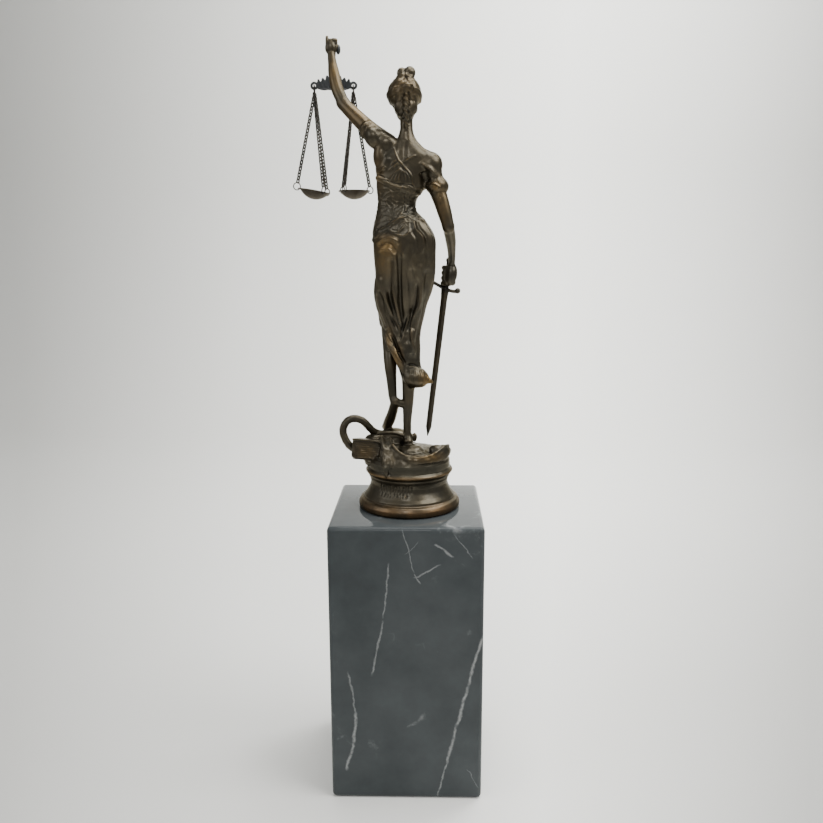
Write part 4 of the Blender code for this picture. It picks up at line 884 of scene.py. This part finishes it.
def carve_fine(obj):
    """Relief that is finer than the solid's."""
    units, normals = world_units(obj)
    x, y, z = units.T
    shift = np.zeros(len(units))
    body = (x > -23.5) & (x < 21.5) & (z > 79)
    folds = [("back", *stroke) for stroke in FINE]
    apply_strokes(shift, units, normals, folds + fan_strokes(), body)
    carve_corset(shift, x, y, z)
    carve_hair(shift, x, y, z)
    carve_blindfold(shift, x, y, z)
    carve_knot(shift, x, y, z)
    carve_base(shift, units)
    carve_snake(shift, x, y, z)
    carve_book(shift, x, y, z, -normals[:, 1])
    # rough rocks, and the slight unevenness of a casting all over
    rocky = soft_gate(z - 33, 3) * soft_gate(46 - z, 3)
    shift += 0.14 * rocky * np.sin(1.1 * x + 1.3 * np.sin(0.6 * y)) * np.sin(0.9 * z + 0.5 * y)
    shift += 0.03 * np.sin(0.9 * x + 0.5 * z) * np.sin(0.8 * y - 0.6 * z)
    push(obj, shift * U, HIGHEST)


def soften(obj, rounds):
    """Even out the creases inside the soft spots."""
    units, _ = world_units(obj)
    weight = np.zeros(len(units))
    for x, y, z, radius in SOFT_SPOTS:
        gap = np.linalg.norm(units - np.array((x, y, z)), axis=1)
        weight = np.maximum(weight, np.clip(2 * (1 - gap / radius), 0, 1))
    group = obj.vertex_groups.new(name="soft")
    levels = np.round(weight * 5).astype(int)
    for level in range(1, 6):
        group.add(np.where(levels == level)[0].tolist(), level / 5, "REPLACE")
    modify(obj, "SMOOTH", factor=0.5, iterations=rounds, vertex_group="soft")
    obj.vertex_groups.clear()


def clear_fittings(figure):
    """Bore the fist for the grip and keep blade and hook free of the casting."""
    channel = cylinder("channel", along_sword(-2 * POMMEL_RADIUS),
                       along_sword(GUARD_AT - GUARD_RADIUS), GRIP_RADIUS + GAP, 12)
    boolean(figure, channel)
    boolean(figure, loft("blade_room", blade_sections(GAP)))
    boolean(figure, make_hook(GAP))


BEAM_CENTRE = fig(-48.8, 31, 279.2)
# Upper and lower edge of the beam's right half, all as shares of the half span
BEAM_TOP = [(0.10, 0.448), (0.20, 0.324), (0.30, 0.417), (0.38, 0.386), (0.43, 0.216),
            (0.52, 0.301), (0.60, 0.286), (0.66, 0.124), (0.74, 0.232), (0.82, 0.224),
            (0.85, 0.108), (0.97, 0.015)]
BEAM_UNDER = [(0.93, -0.147), (0.76, -0.239), (0.52, -0.293), (0.26, -0.27)]
BEAM_KEEL = -0.324
# The two pans: which eye, how far each hangs off the eye's plumb line, tilt and lug angles
PANS = {
    "left": {"eye": -1, "shift": -0.0014, "drop": 0, "tilt": 0.17, "lugs": (180, 306, 54)},
    "right": {"eye": 1, "shift": -0.0004, "drop": 0.0001, "tilt": 0, "lugs": (34, 136, 243)},
}


def beam_point(x, z):
    """A point in the middle plane of the beam, from its centre."""
    return BEAM_CENTRE + Vector((x, 0, z))


def beam_outline():
    """The closed edge of the leafy beam, symmetrical about its middle."""
    right = BEAM_TOP + BEAM_UNDER
    left = [(-share, rise) for share, rise in reversed(right)]
    return right + [(0, BEAM_KEEL)] + left


def make_hook(extra):
    """The stem behind the hand and its curl over the fingers, thicker by extra."""
    path = [(BEAM_CENTRE, 1.3), (fig(-48.6, 31.6, 288), 1.1), (fig(-48.2, 32, 298), 1),
            (fig(-47.2, 31.6, 302.2), 1), (fig(-45.4, 29.4, 302), 1)]
    stations = [(point, share * HOOK_RADIUS + extra) for point, share in path]
    stem = tube("hook", stations, sides=1, ends=False, steps=2)[0]
    radii = [share * HOOK_RADIUS + extra for share in (1.8, 1.6, 3.6)]
    curl = ball("curl", fig(-45.2, 28.6, 300.2), radii, fine=2)
    return boolean(stem, curl, "UNION")


def top_ring_centre(side):
    """The small ring in a beam eye hangs in the plane across the beam."""
    eye = beam_point(PANS[side]["eye"] * BEAM_SPAN / 2, -EYE_DROP)
    return eye - Vector((0, 0, TOP_RING_RADIUS - BEAM_HOLE_RADIUS + RING_WIRE + GAP))


def pan_matrix(side):
    """The frame of a pan: its origin is the middle of the rim."""
    pan = PANS[side]
    centre = top_ring_centre(side)
    centre.z -= TOP_RING_RADIUS + CHAIN_DROP + pan["drop"]
    centre.x += pan["shift"]
    return Matrix.Translation(centre) @ Matrix.Rotation(pan["tilt"], 4, "Y")


def lug_direction(side, index):
    """The level direction from the pan's axis to a lug."""
    angle = math.radians(PANS[side]["lugs"][index])
    return Vector((math.cos(angle), math.sin(angle), 0))


def lug_middle(side, index):
    """Middle of a lug's hole in the pan's own frame."""
    sink = Vector((0, 0, LUG_THICKNESS / 2 + LUG_SINK))
    return lug_direction(side, index) * LUG_REACH - sink


def make_pan(side, mat):
    """A thin shallow dish with a narrow brim and three drilled lugs."""
    outer = []
    inner = []
    rings = 12
    end = math.radians(PAN_ARC)
    bowl = PAN_RADIUS - PAN_BRIM
    for i in range(rings + 1):
        angle = end * i / rings
        radius = math.sin(angle) / math.sin(end)
        height = (math.cos(angle) - math.cos(end)) / (1 - math.cos(end))
        outer.append((radius * bowl, -height * (PAN_DEPTH - PAN_WALL) - PAN_WALL))
        inner.append((radius * (bowl - PAN_WALL * 0.6), -height * (PAN_DEPTH - PAN_WALL)))
    profile = outer + [(PAN_RADIUS, -PAN_WALL), (PAN_RADIUS, 0)] + list(reversed(inner))
    pan = turned("scale_pan_" + side, list(reversed(profile)), Vector((0, 0, 0)),
                 PAN_STEPS)
    up = Vector((0, 0, LUG_THICKNESS / 2))
    for index in range(3):
        middle = lug_middle(side, index)
        lug = cylinder("lug", middle - up, middle + up, LUG_RADIUS, 24)
        pan = boolean(pan, lug, "UNION")
    for index in range(3):
        middle = lug_middle(side, index)
        hole = cylinder("lug_hole", middle - up * 4, middle + up * 4, LUG_HOLE_RADIUS, 16)
        pan = boolean(pan, hole)
    pan.data.transform(pan_matrix(side))
    return finish(pan, mat)


def ring_place(side, index):
    """Centre and basis of the jump ring through a lug, and its direction to the chain."""
    place = pan_matrix(side)
    turn = place.to_3x3()
    out = turn @ lug_direction(side, index)
    up = turn @ Vector((0, 0, 1))
    swing = math.sqrt(RING_RADIUS ** 2 - RING_RISE ** 2)
    centre = place @ lug_middle(side, index) + out * swing + up * RING_RISE
    across = up.cross(out).normalized()
    basis = Matrix((out, across.cross(out), across)).transposed()
    pull = (top_anchor(side, index) - centre).normalized()
    return centre, basis, pull


def top_anchor(side, index):
    """Where a chain leaves the ring in the beam's eye."""
    centre = top_ring_centre(side)
    spread = 0
    if index > 0:
        spread = math.copysign(math.radians(ANCHOR_SPREAD), lug_direction(side, index).y)
    reach = TOP_RING_RADIUS + RING_WIRE + GAP
    return centre + Vector((0, math.sin(spread) * reach, -math.cos(spread) * reach))


def link_mesh(work, place, length, width, wire, major, minor):
    """One oval chain link, long along the first axis of place and flat across the third."""
    straight = (length - width) / 2
    radius = width / 2 - wire
    ring = []
    for i in range(major):
        angle = 2 * math.pi * (i + 0.5) / major
        out = Vector((math.cos(angle), math.sin(angle), 0))
        middle = out * radius + Vector((math.copysign(straight, out.x), 0, 0))
        row = []
        for k in range(minor):
            turn = 2 * math.pi * k / minor
            dot = middle + out * (math.cos(turn) * wire) + Vector((0, 0, math.sin(turn) * wire))
            row.append(work.verts.new(place @ dot))
        ring.append(row)
    for i in range(major):
        j = (i + 1) % major
        for k in range(minor):
            n = (k + 1) % minor
            work.faces.new((ring[i][k], ring[j][k], ring[j][n], ring[i][n]))


def fine_chain(side, index, mat):
    """The links of one chain, from the ring in the eye to the ring at the pan."""
    top_centre = top_ring_centre(side)
    start = top_centre + (top_anchor(side, index) - top_centre).normalized() * TOP_RING_RADIUS
    centre, _, pull = ring_place(side, index)
    end = centre + pull * RING_RADIUS
    axis = end - start
    count = int(round(axis.length / CHAIN_PITCH))
    pitch = axis.length / count
    length = pitch + LINK_WIRE * 2.5
    along = axis.normalized()
    across = along.cross(Vector((0, 1, 0))).normalized()
    basis = Matrix((along, across, across.cross(along))).transposed()
    work = bmesh.new()
    for i in range(count):
        lean = math.radians(LINK_LEAN) * (1 if i % 2 else -1)
        middle = start + axis * ((i + 0.5) / count)
        place = Matrix.Translation(middle) @ (basis @ Matrix.Rotation(lean, 3, "X")).to_4x4()
        link_mesh(work, place, length, LINK_WIDTH, LINK_WIRE, 14, 7)
    bmesh.ops.recalc_face_normals(work, faces=work.faces)
    obj = from_bmesh("links_%s_%d" % (side, index + 1), work)
    return finish(obj, mat, math.radians(70))


# Node materials

class Wire:
    """An output in a material's node tree; arithmetic with it makes math nodes."""

    def __init__(self, tree, socket):
        self.tree = tree
        self.socket = socket

    def maths(self, operation, first, second=0):
        """A math node between two wires or numbers."""
        return node(self.tree, "Math", {0: first, 1: second}, operation=operation)

    def clamp(self):
        """Hold the value between 0 and 1."""
        self.socket.node.use_clamp = True
        return self

    def larger(self, other):
        """The larger of two values."""
        return self.maths("MAXIMUM", self, other)

    def __abs__(self):
        return self.maths("ABSOLUTE", self)

    def __add__(self, other):
        return self.maths("ADD", self, other)

    def __sub__(self, other):
        return self.maths("SUBTRACT", self, other)

    def __rsub__(self, other):
        return self.maths("SUBTRACT", other, self)

    def __mul__(self, other):
        return self.maths("MULTIPLY", self, other)

    def __truediv__(self, other):
        return self.maths("DIVIDE", self, other)


def plug(socket, value):
    """Feed a socket from a wire, a number, a vector or a colour."""
    if isinstance(value, Wire):
        value.tree.links.new(value.socket, socket)
    elif socket.type == "RGBA" and len(value) == 3:
        socket.default_value = (*value, 1)
    else:
        socket.default_value = value


def node(tree, kind, inputs, output=0, **settings):
    """A shader node with its settings and inputs, as the wire of one output."""
    made = tree.nodes.new("ShaderNode" + kind)
    for name, value in settings.items():
        setattr(made, name, value)
    for name, value in inputs.items():
        plug(made.inputs[name], value)
    return Wire(tree, made.outputs[output])


def group_material(name):
    """A node material, its tree, its shader's inputs and its object coordinates."""
    mat = bpy.data.materials.new(name)
    mat.use_nodes = True
    tree = mat.node_tree
    return mat, tree, tree.nodes["Principled BSDF"].inputs, node(tree, "TexCoord", {}, "Object")


def noise(coords, scale, detail=4, rough=0.5, output="Fac"):
    """A noise texture in object coordinates."""
    return node(coords.tree, "TexNoise", {"Vector": coords, "Scale": scale, "Detail": detail,
                                          "Roughness": rough}, output)


def ramp(source, *stops):
    """A colour ramp; stops are (place, grey or colour)."""
    made = node(source.tree, "ValToRGB", {"Fac": source}, "Color")
    elements = made.socket.node.color_ramp.elements
    while len(elements) < len(stops):
        elements.new(0.5)
    for element, (place, colour) in zip(elements, stops):
        element.position = place
        element.color = (*colour, 1) if isinstance(colour, tuple) else (colour,) * 3 + (1,)
    return made


def mix(factor, first, second, blend="MIX"):
    """Mix two colours, the first of them a wire."""
    return node(first.tree, "Mix", {0: factor, 6: first, 7: second}, 2,
                data_type="RGBA", blend_type=blend)


def vector(operation, first, inputs, output=0):
    """A vector math node."""
    return node(first.tree, "VectorMath", {0: first, **inputs}, output, operation=operation)


def parts_of(coords):
    """The X, Y and Z of a vector."""
    x = node(coords.tree, "SeparateXYZ", {0: coords})
    return [Wire(coords.tree, socket) for socket in x.socket.node.outputs]


def bump(tree, height, strength, distance):
    """A bump of the surface."""
    return node(tree, "Bump", {"Strength": strength, "Distance": distance, "Height": height})


def bronze_material(name, base, warm, wear_and_highlight, recess, spots=(), bands=(), rough=0.335):
    """Patinated bronze: dark brown, worn gold on the raised parts, gold spots and rings by height that
    are partly painted highlights and painted light, and a dark patina with painted shade in the hollows.
    """
    mat, tree, shader, coords = group_material(name)
    broad = noise(coords, 45, 5, 0.6)
    fine = noise(coords, 420, 6, 0.65)
    point = node(tree, "NewGeometry", {}, "Pointiness")
    tone = ramp(broad, (0.36, base), (0.66, warm))
    patch = ramp(broad, (0.38, 0.25), (0.62, 1))
    speck = ramp(fine, (0.35, 0.55), (0.6, 1))
    total = ramp(point, (0.52, 0), (0.60, 1)) * patch * 0.6
    # gold spots: partly worn gold and partly painted highlights
    for centre, radii, strength in spots:
        away = vector("DIVIDE", vector("SUBTRACT", coords, {1: centre}), {1: radii})
        mask = (1 - vector("LENGTH", away, {}, 1)).clamp()
        total = total.larger(mask * strength * speck)
    height = parts_of(coords)[2]
    colour = mix(total, tone, wear_and_highlight)
    # rings by height: patina tints, worn gold and painted light
    for level, half, strength, tint in bands:
        mask = (1 - abs(height - level) / half).clamp() * strength * patch
        colour = mix(mask, colour, tint)
    # dark patina together with painted shade in the hollows
    hollow = ramp(point, (0.42, 1), (0.492, 0)) * 0.88
    plug(shader["Base Color"], mix(hollow, colour, recess))
    shader["Metallic"].default_value = 0.9
    shader["Specular Tint"].default_value = (0.50, 0.46, 0.38, 1)
    shader["Coat Weight"].default_value = 0.22
    shader["Coat Roughness"].default_value = 0.2
    plug(shader["Roughness"], ramp(fine, (0.3, rough - 0.06), (0.7, rough + 0.10)) + hollow * 0.3)
    plug(shader["Normal"], bump(tree, fine, 0.28, 0.00035))
    return mat


def vein(wander, start, end, width):
    """A pale line on the front of the block: a distorted segment that fades at its ends."""
    run, rise = end[0] - start[0], end[1] - start[1]
    length = math.hypot(run, rise)
    run, rise = run / length, rise / length
    x, y, z = parts_of(wander)
    x, z = x - start[0] * MM, z - start[1] * MM
    along = x * run + z * rise
    line = (1 - abs(x * rise - z * run) / (width * MM)).clamp()
    length *= MM
    begin = (along / (length * VEIN_FADE)).clamp()
    fade = ((length - along) / (length * VEIN_FADE)).clamp()
    return line * (begin * fade) * y.maths("GREATER_THAN", VEIN_PLANE, y)


MM = 0.001
VEIN_FADE = 0.12
VEIN_PLANE = -0.02
VEIN_WANDER = 0.005
# Ends of each vein in mm of x and z, width in mm and strength
VEINS = [
    ((-10.6, 167.5), (-14.6, 128), 0.7, 0.55), ((-14.6, 128), (-22.9, 87.5), 0.9, 0.6),
    ((-37.6, 92), (-33.2, 60), 0.9, 0.5), ((-33.2, 64), (-35, 40), 1.5, 0.8),
    ((-35, 42), (-40.4, 20), 1.3, 0.7), ((50, 118), (40, 82), 1.3, 0.75),
    ((40.4, 84), (32.8, 52), 1.4, 0.8), ((33, 54), (26.4, 25), 1.2, 0.7),
    ((26.8, 28), (20, 0), 0.7, 0.6), ((-2.6, 190), (5.6, 160), 0.5, 0.45),
    ((18, 180), (30, 171), 1, 0.7), ((4.6, 156.6), (23, 166), 0.8, 0.6),
    ((5, 160), (9, 152), 0.6, 0.5), ((30, 187), (42, 170), 0.5, 0.45),
    ((8, 182), (-1, 172), 0.3, 0.35), ((40, 22), (49, 8), 0.4, 0.4),
]


def marble_material():
    """Polished near-black stone with grey white veins."""
    mat, tree, shader, coords = group_material("marble")
    cloud = noise(coords, 28, 6, 0.6)
    grain = noise(coords, 260, 5, 0.7)
    warp = noise(coords, 90, 5, 0.65, "Color")
    moved = vector("MULTIPLY_ADD", warp, {1: (VEIN_WANDER,) * 3, 2: coords})
    centre = vector("SUBTRACT", moved, {1: (VEIN_WANDER / 2,) * 3})
    total = ramp(grain, (0.70, 0), (0.80, 0.30))
    for start, end, width, strength in VEINS:
        total = total.larger(vein(centre, start, end, width) * strength)
    # veins of the other sides and thin hair lines
    rare = ramp(cloud, (0.56, 0), (0.66, 1))
    for scale, thin, strength in ((9, 0.010, 0.5), (26, 0.012, 0.16)):
        line = (1 - abs(noise(centre, scale, 3, 0.5) - 0.5) / thin).clamp()
        total = total.larger(line * rare * strength)
    total = total * ramp(grain, (0.34, 0.35), (0.56, 1))
    tone = ramp(cloud, (0.3, (0.043, 0.0495, 0.0520)), (0.7, (0.064, 0.0720, 0.0755)))
    plug(shader["Base Color"], mix(total, tone, (0.37, 0.38, 0.38)))
    shader["IOR"].default_value = 1.2
    plug(shader["Roughness"], ramp(grain, (0.2, 0.04), (0.8, 0.08)))
    plug(shader["Normal"], bump(tree, cloud, 0.02, 0.0002))
    return mat


# Gold spots, partly worn gold and partly painted highlights: middle, half sizes and strength
SPOTS = [
    (fig(-13, -11, 173), (0.012, 0.012, 0.010), 0.9),
    (fig(-15, -8, 164), (0.009, 0.012, 0.012), 0.6),
    (fig(14, -8, 88), (0.009, 0.009, 0.008), 1),
    (fig(-7, -7, 101), (0.006, 0.008, 0.014), 0.9),
    (fig(-12, -6, 115), (0.004, 0.008, 0.010), 0.8),
    (fig(-32, 6, 254), (0.022, 0.016, 0.016), 0.45),
    (fig(-47, 16, 284), (0.008, 0.012, 0.022), 0.45),
    # painted highlight down the front of the sword arm
    (fig(22, -6, 198), (0.007, 0.009, 0.022), 0.45),
    (fig(-19, -4, 220), (0.006, 0.012, 0.020), 0.45),
    # painted highlight on the sleeve pleats
    (fig(18.6, -8, 210.6), (0.005, 0.006, 0.004), 0.7),
    (fig(16, -24, 39), (0.016, 0.010, 0.005), 0.5),
    (fig(-28, -11, 39), (0.012, 0.006, 0.010), 0.35),
    # painted highlight on the hair
    (fig(-1, -7, 269), (0.013, 0.010, 0.014), 0.35),
]
# Rings of colour on the base and the skirt, partly worn gold and patina, partly painted light: height,
# half height, strength and colour
BANDS = [
    (PLINTH_HEIGHT + 3 * U, 0.0060, 0.75, (0.19, 0.105, 0.042)),
    # worn gold lip line with a painted highlight along it
    (PLINTH_HEIGHT + 25.6 * U, 0.0016, 0.9, (0.20, 0.125, 0.055)),
    # painted light: lightens the whole skirt
    (PLINTH_HEIGHT + 128 * U, 0.0500, 0.55, (0.125, 0.108, 0.076)),
    # green-grey patina on the drum with a painted highlight
    (PLINTH_HEIGHT + 31 * U, 0.0060, 0.45, (0.060, 0.066, 0.058)),
    (PLINTH_HEIGHT + 15 * U, 0.0080, 0.30, (0.050, 0.053, 0.047)),
]


def settle(obj, node):
    """Hang a piece on the root body and hide the solid that it stands for."""
    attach(obj, "root")
    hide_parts(node)
    return obj


def build_figure(mat):
    """The casting with its fine relief."""
    figure = join("figure", figure_parts())
    modify(figure, "REMESH", mode="VOXEL", voxel_size=FIGURE_VOXEL, adaptivity=0)
    for piece in limb("hollow", CLOTH_HOLLOW):
        boolean(figure, piece)
    modify(figure, "SMOOTH", factor=0.5, iterations=FIGURE_EVEN)
    soften(figure, SOFT_ROUNDS)
    carve(figure)
    carve_fine(figure)
    modify(figure, "SMOOTH", factor=0.3, iterations=1)
    decimate(figure, FIGURE_TRIANGLES)
    boolean(figure, block("trim", Vector((0, 0, PLINTH_HEIGHT + GAP - FIGURE_HEIGHT / 2)),
                          (FIGURE_HEIGHT,) * 3))
    clear_fittings(figure)
    return finish(figure, mat, math.pi)


def build_beam(mat):
    """The leafy beam with rounded edges, raised ribs, eyes, stem and curl."""
    half = BEAM_SPAN / 2
    edge = 0.00022
    outline = finer(beam_outline() + beam_outline()[:1], 4)[:-1]
    curve = bpy.data.curves.new("beam", "CURVE")
    curve.dimensions = "2D"
    curve.fill_mode = "BOTH"
    curve.extrude = BEAM_THICKNESS / 2 - edge
    curve.bevel_depth = edge
    curve.bevel_resolution = 1
    curve.offset = -edge
    spline = curve.splines.new("POLY")
    spline.points.add(len(outline) - 1)
    for dot, (share, rise) in zip(spline.points, outline):
        dot.co = (share * half, rise * half, 0, 1)
    spline.use_cyclic_u = True
    obj = bpy.data.objects.new("beam", curve)
    VISUAL.objects.link(obj)
    obj.rotation_euler = (math.pi / 2, 0, 0)
    obj.location = BEAM_CENTRE
    parts = [freeze(obj)]
    depth = Vector((0, BEAM_THICKNESS / 2, 0))
    for side in (-1, 1):
        eye = beam_point(side * half, -EYE_DROP)
        rim = Matrix.Rotation(math.pi / 2, 3, "X")
        parts.append(torus("eye_rim", eye, BEAM_EYE_RADIUS - 0.0006, 0.0006, rim,
                           40, 12))
        parts.append(cylinder("eye", eye - depth * 0.8, eye + depth * 0.8,
                              BEAM_EYE_RADIUS - 0.0002, 40))
    parts.append(make_hook(0))
    beam = join("beam", parts)
    modify(beam, "REMESH", mode="VOXEL", voxel_size=BEAM_VOXEL, adaptivity=0)
    modify(beam, "SMOOTH", factor=0.5, iterations=3)
    places, normals = mesh_arrays(beam.data)
    dots = (places - np.array(BEAM_CENTRE)) / half
    ribs = np.full(len(dots), 9)
    for foot, tip in ((0, 0.10), (0.16, 0.34), (0.40, 0.56), (0.62, 0.79)):
        height = 0.38 if tip < 0.4 else 0.24
        for way in (-1, 1):
            path = [(way * foot, -0.12), (way * (foot + tip) * 0.5, 0.10), (way * tip, height)]
            ribs = np.minimum(ribs, along_path(dots[:, [0, 2]], path)[0])
    flat = (np.abs(normals[:, 1]) > 0.6) & (np.abs(dots[:, 1]) < 0.09)
    grow = np.where(flat, 0.00018 * ridge(ribs, 0.035) - 0.00010 * ridge(ribs - 0.09, 0.03), 0)
    push(beam, grow)
    decimate(beam, BEAM_TRIANGLES)
    for side in (-1, 1):
        eye = beam_point(side * half, -EYE_DROP)
        boolean(beam, cylinder("hole", eye - depth * 3, eye + depth * 3, BEAM_HOLE_RADIUS, 28))
    return finish(beam, mat, math.radians(60))


def build_plinth(mat):
    """The polished block with its rounded edges."""
    plinth = block("plinth", Vector((0, 0, PLINTH_HEIGHT / 2)),
                   (PLINTH_SIDE, PLINTH_SIDE, PLINTH_HEIGHT),
                   edge=PLINTH_EDGE, steps=8)
    return finish(plinth, mat, math.radians(35))


def make_camera():
    """The camera of the view from behind, a little above."""
    data = bpy.data.cameras.new("camera")
    camera = bpy.data.objects.new("camera", data)
    bpy.context.scene.collection.objects.link(camera)
    data.sensor_width = 36
    data.lens = 36 * 815 / 823
    data.clip_start = 0.01
    data.clip_end = 20
    yaw, pitch, roll = (math.radians(a) for a in (-1.28, 10.95, -0.14))
    camera.location = (0.0148, -0.538, 0.359)
    forward = Vector((math.sin(yaw) * math.cos(pitch), math.cos(yaw) * math.cos(pitch),
                      -math.sin(pitch)))
    camera.matrix_world = (Matrix.Translation(camera.location)
                           @ forward.to_track_quat("-Z", "Y").to_matrix().to_4x4()
                           @ Matrix.Rotation(roll, 4, "Z"))
    bpy.context.scene.camera = camera


def make_stage():
    """A pale floor that rises into a backdrop with a painted fall-off of light across it, and soft
    studio light.
    """
    work = bmesh.new()
    rows = []
    for i in range(25):
        share = i / 24
        angle = share * math.pi / 2
        rows.append((1 + 0.6 * math.sin(angle), 0.6 - 0.6 * math.cos(angle)))
    profile = [(-2.6, 0)] + rows + [(1.6, 3.2)]
    previous = None
    for y, z in profile:
        row = [work.verts.new((-3.4, y, z)), work.verts.new((3.4, y, z))]
        if previous:
            work.faces.new((previous[0], previous[1], row[1], row[0]))
        previous = row
    floor = from_bmesh("backdrop", work)
    mat, _, shader, coords = group_material("backdrop")
    tone = ramp(noise(coords, 2, 3, 0.5), (0.3, (0.890, 0.892, 0.862)), (0.7, (0.910, 0.912, 0.882)))
    x, y, _ = parts_of(coords)
    # painted light fall-off: the backdrop is painted darker to the left and to the far right
    slant = x / (y + 0.62).larger(0.1)
    painted_light_falloff = ramp(slant + 0.5, (0.02, 0.53), (0.30, 0.84), (0.66, 1), (0.97, 0.50))
    plug(shader["Base Color"], mix(1, tone, painted_light_falloff, "MULTIPLY"))
    shader["Roughness"].default_value = 0.9
    floor.data.materials.append(mat)
    floor.data.shade_smooth()
    floor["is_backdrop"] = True
    world = bpy.data.worlds.new("studio")
    bpy.context.scene.world = world
    world.use_nodes = True
    back = world.node_tree.nodes["Background"]
    back.inputs[0].default_value = (1, 0.99, 0.97, 1)
    back.inputs[1].default_value = 0.40
    lights = [
        ("key", (0.95, -0.35, 1.35), (0.10, 0, 0.20), 0.9, 19, (1, 0.992, 0.965)),
        ("fill", (-1.25, -0.6, 0.95), (0, 0, 0.25), 0.9, 4.6, (0.97, 0.985, 1)),
        ("top", (0.10, 0.10, 1.6), (0.10, 0.05, 0.2), 0.8, 17, (1, 0.995, 0.97)),
        ("front", (-0.15, -1.25, 1.25), (0, 0, 0.35), 0.45, 5, (1, 0.995, 0.98)),
        ("wash", (0.60, 0.55, 1.35), (0.42, 1.6, 0.55), 0.8, 37, (1, 1, 0.98)),
    ]
    for name, place, aim, size, power, colour in lights:
        data = bpy.data.lights.new(name, "AREA")
        data.shape = "SQUARE"
        data.size = size
        data.energy = power
        data.color = colour
        lamp = bpy.data.objects.new(name, data)
        bpy.context.scene.collection.objects.link(lamp)
        lamp.location = place
        lamp.rotation_euler = (Vector(aim) - Vector(place)).to_track_quat("-Z", "Y").to_euler()


def main():
    """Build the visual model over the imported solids."""
    bronze = bronze_material("bronze_worn_and_painted_light", (0.044, 0.040, 0.030), (0.076, 0.062, 0.039),
                             (0.20, 0.120, 0.038), (0.006, 0.0075, 0.006), SPOTS, BANDS)
    beam_metal = bronze_material("beam_patina", (0.046, 0.050, 0.053), (0.070, 0.073, 0.075),
                                 (0.14, 0.14, 0.135), (0.016, 0.017, 0.018), rough=0.46)
    dark = bronze_material("chain_patina", (0.030, 0.027, 0.024), (0.046, 0.041, 0.035),
                           (0.09, 0.08, 0.065), (0.010, 0.009, 0.008), rough=0.48)
    blade = bronze_material("blade_patina", (0.026, 0.025, 0.021), (0.040, 0.036, 0.028),
                            (0.10, 0.08, 0.05), (0.010, 0.010, 0.009), rough=0.42)
    dish = bronze_material("pan_patina", (0.032, 0.027, 0.021), (0.052, 0.042, 0.030),
                           (0.13, 0.10, 0.065), (0.011, 0.010, 0.009), rough=0.44)
    stone = marble_material()
    figure = build_figure(bronze)
    settle(figure, "bronze_figure")
    for side in PANS:
        for index in range(3):
            chain = fine_chain(side, index, dark)
            settle(chain, "chain_%s_%d" % (side, index + 1))
            centre, turn, _ = ring_place(side, index)
            ring = torus("ring_%s_%d" % (side, index + 1), centre, RING_RADIUS - RING_TRIM, RING_WIRE,
                         turn, 36, 10)
            settle(finish(ring, dark), "pan_ring_%s_%d" % (side, index + 1))
        across = Matrix.Rotation(math.pi / 2, 3, "Y")
        ring = torus("top_ring_" + side, top_ring_centre(side), TOP_RING_RADIUS - RING_TRIM, RING_WIRE,
                     across, 40, 10)
        settle(finish(ring, dark), "eye_ring_" + side)
        pan = make_pan(side, dish)
        pan.name = "pan_" + side
        settle(pan, "scale_pan_" + side)
    settle(build_beam(beam_metal), "scale_beam")
    settle(build_plinth(stone), "marble_plinth")
    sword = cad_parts["sword"]
    sword.data.materials.clear()
    sword.data.materials.append(blade)
    make_stage()
    make_camera()
    bpy.context.view_layer.update()
    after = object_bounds()
    {"before": plain(bounds_before), "after": plain(after)}


def plain(value):
    """Numbers as plain lists."""
    if isinstance(value, dict):
        return {key: plain(item) for key, item in value.items()}
    if hasattr(value, "__len__") and not isinstance(value, str):
        return [plain(item) for item in value]
    return value


main()
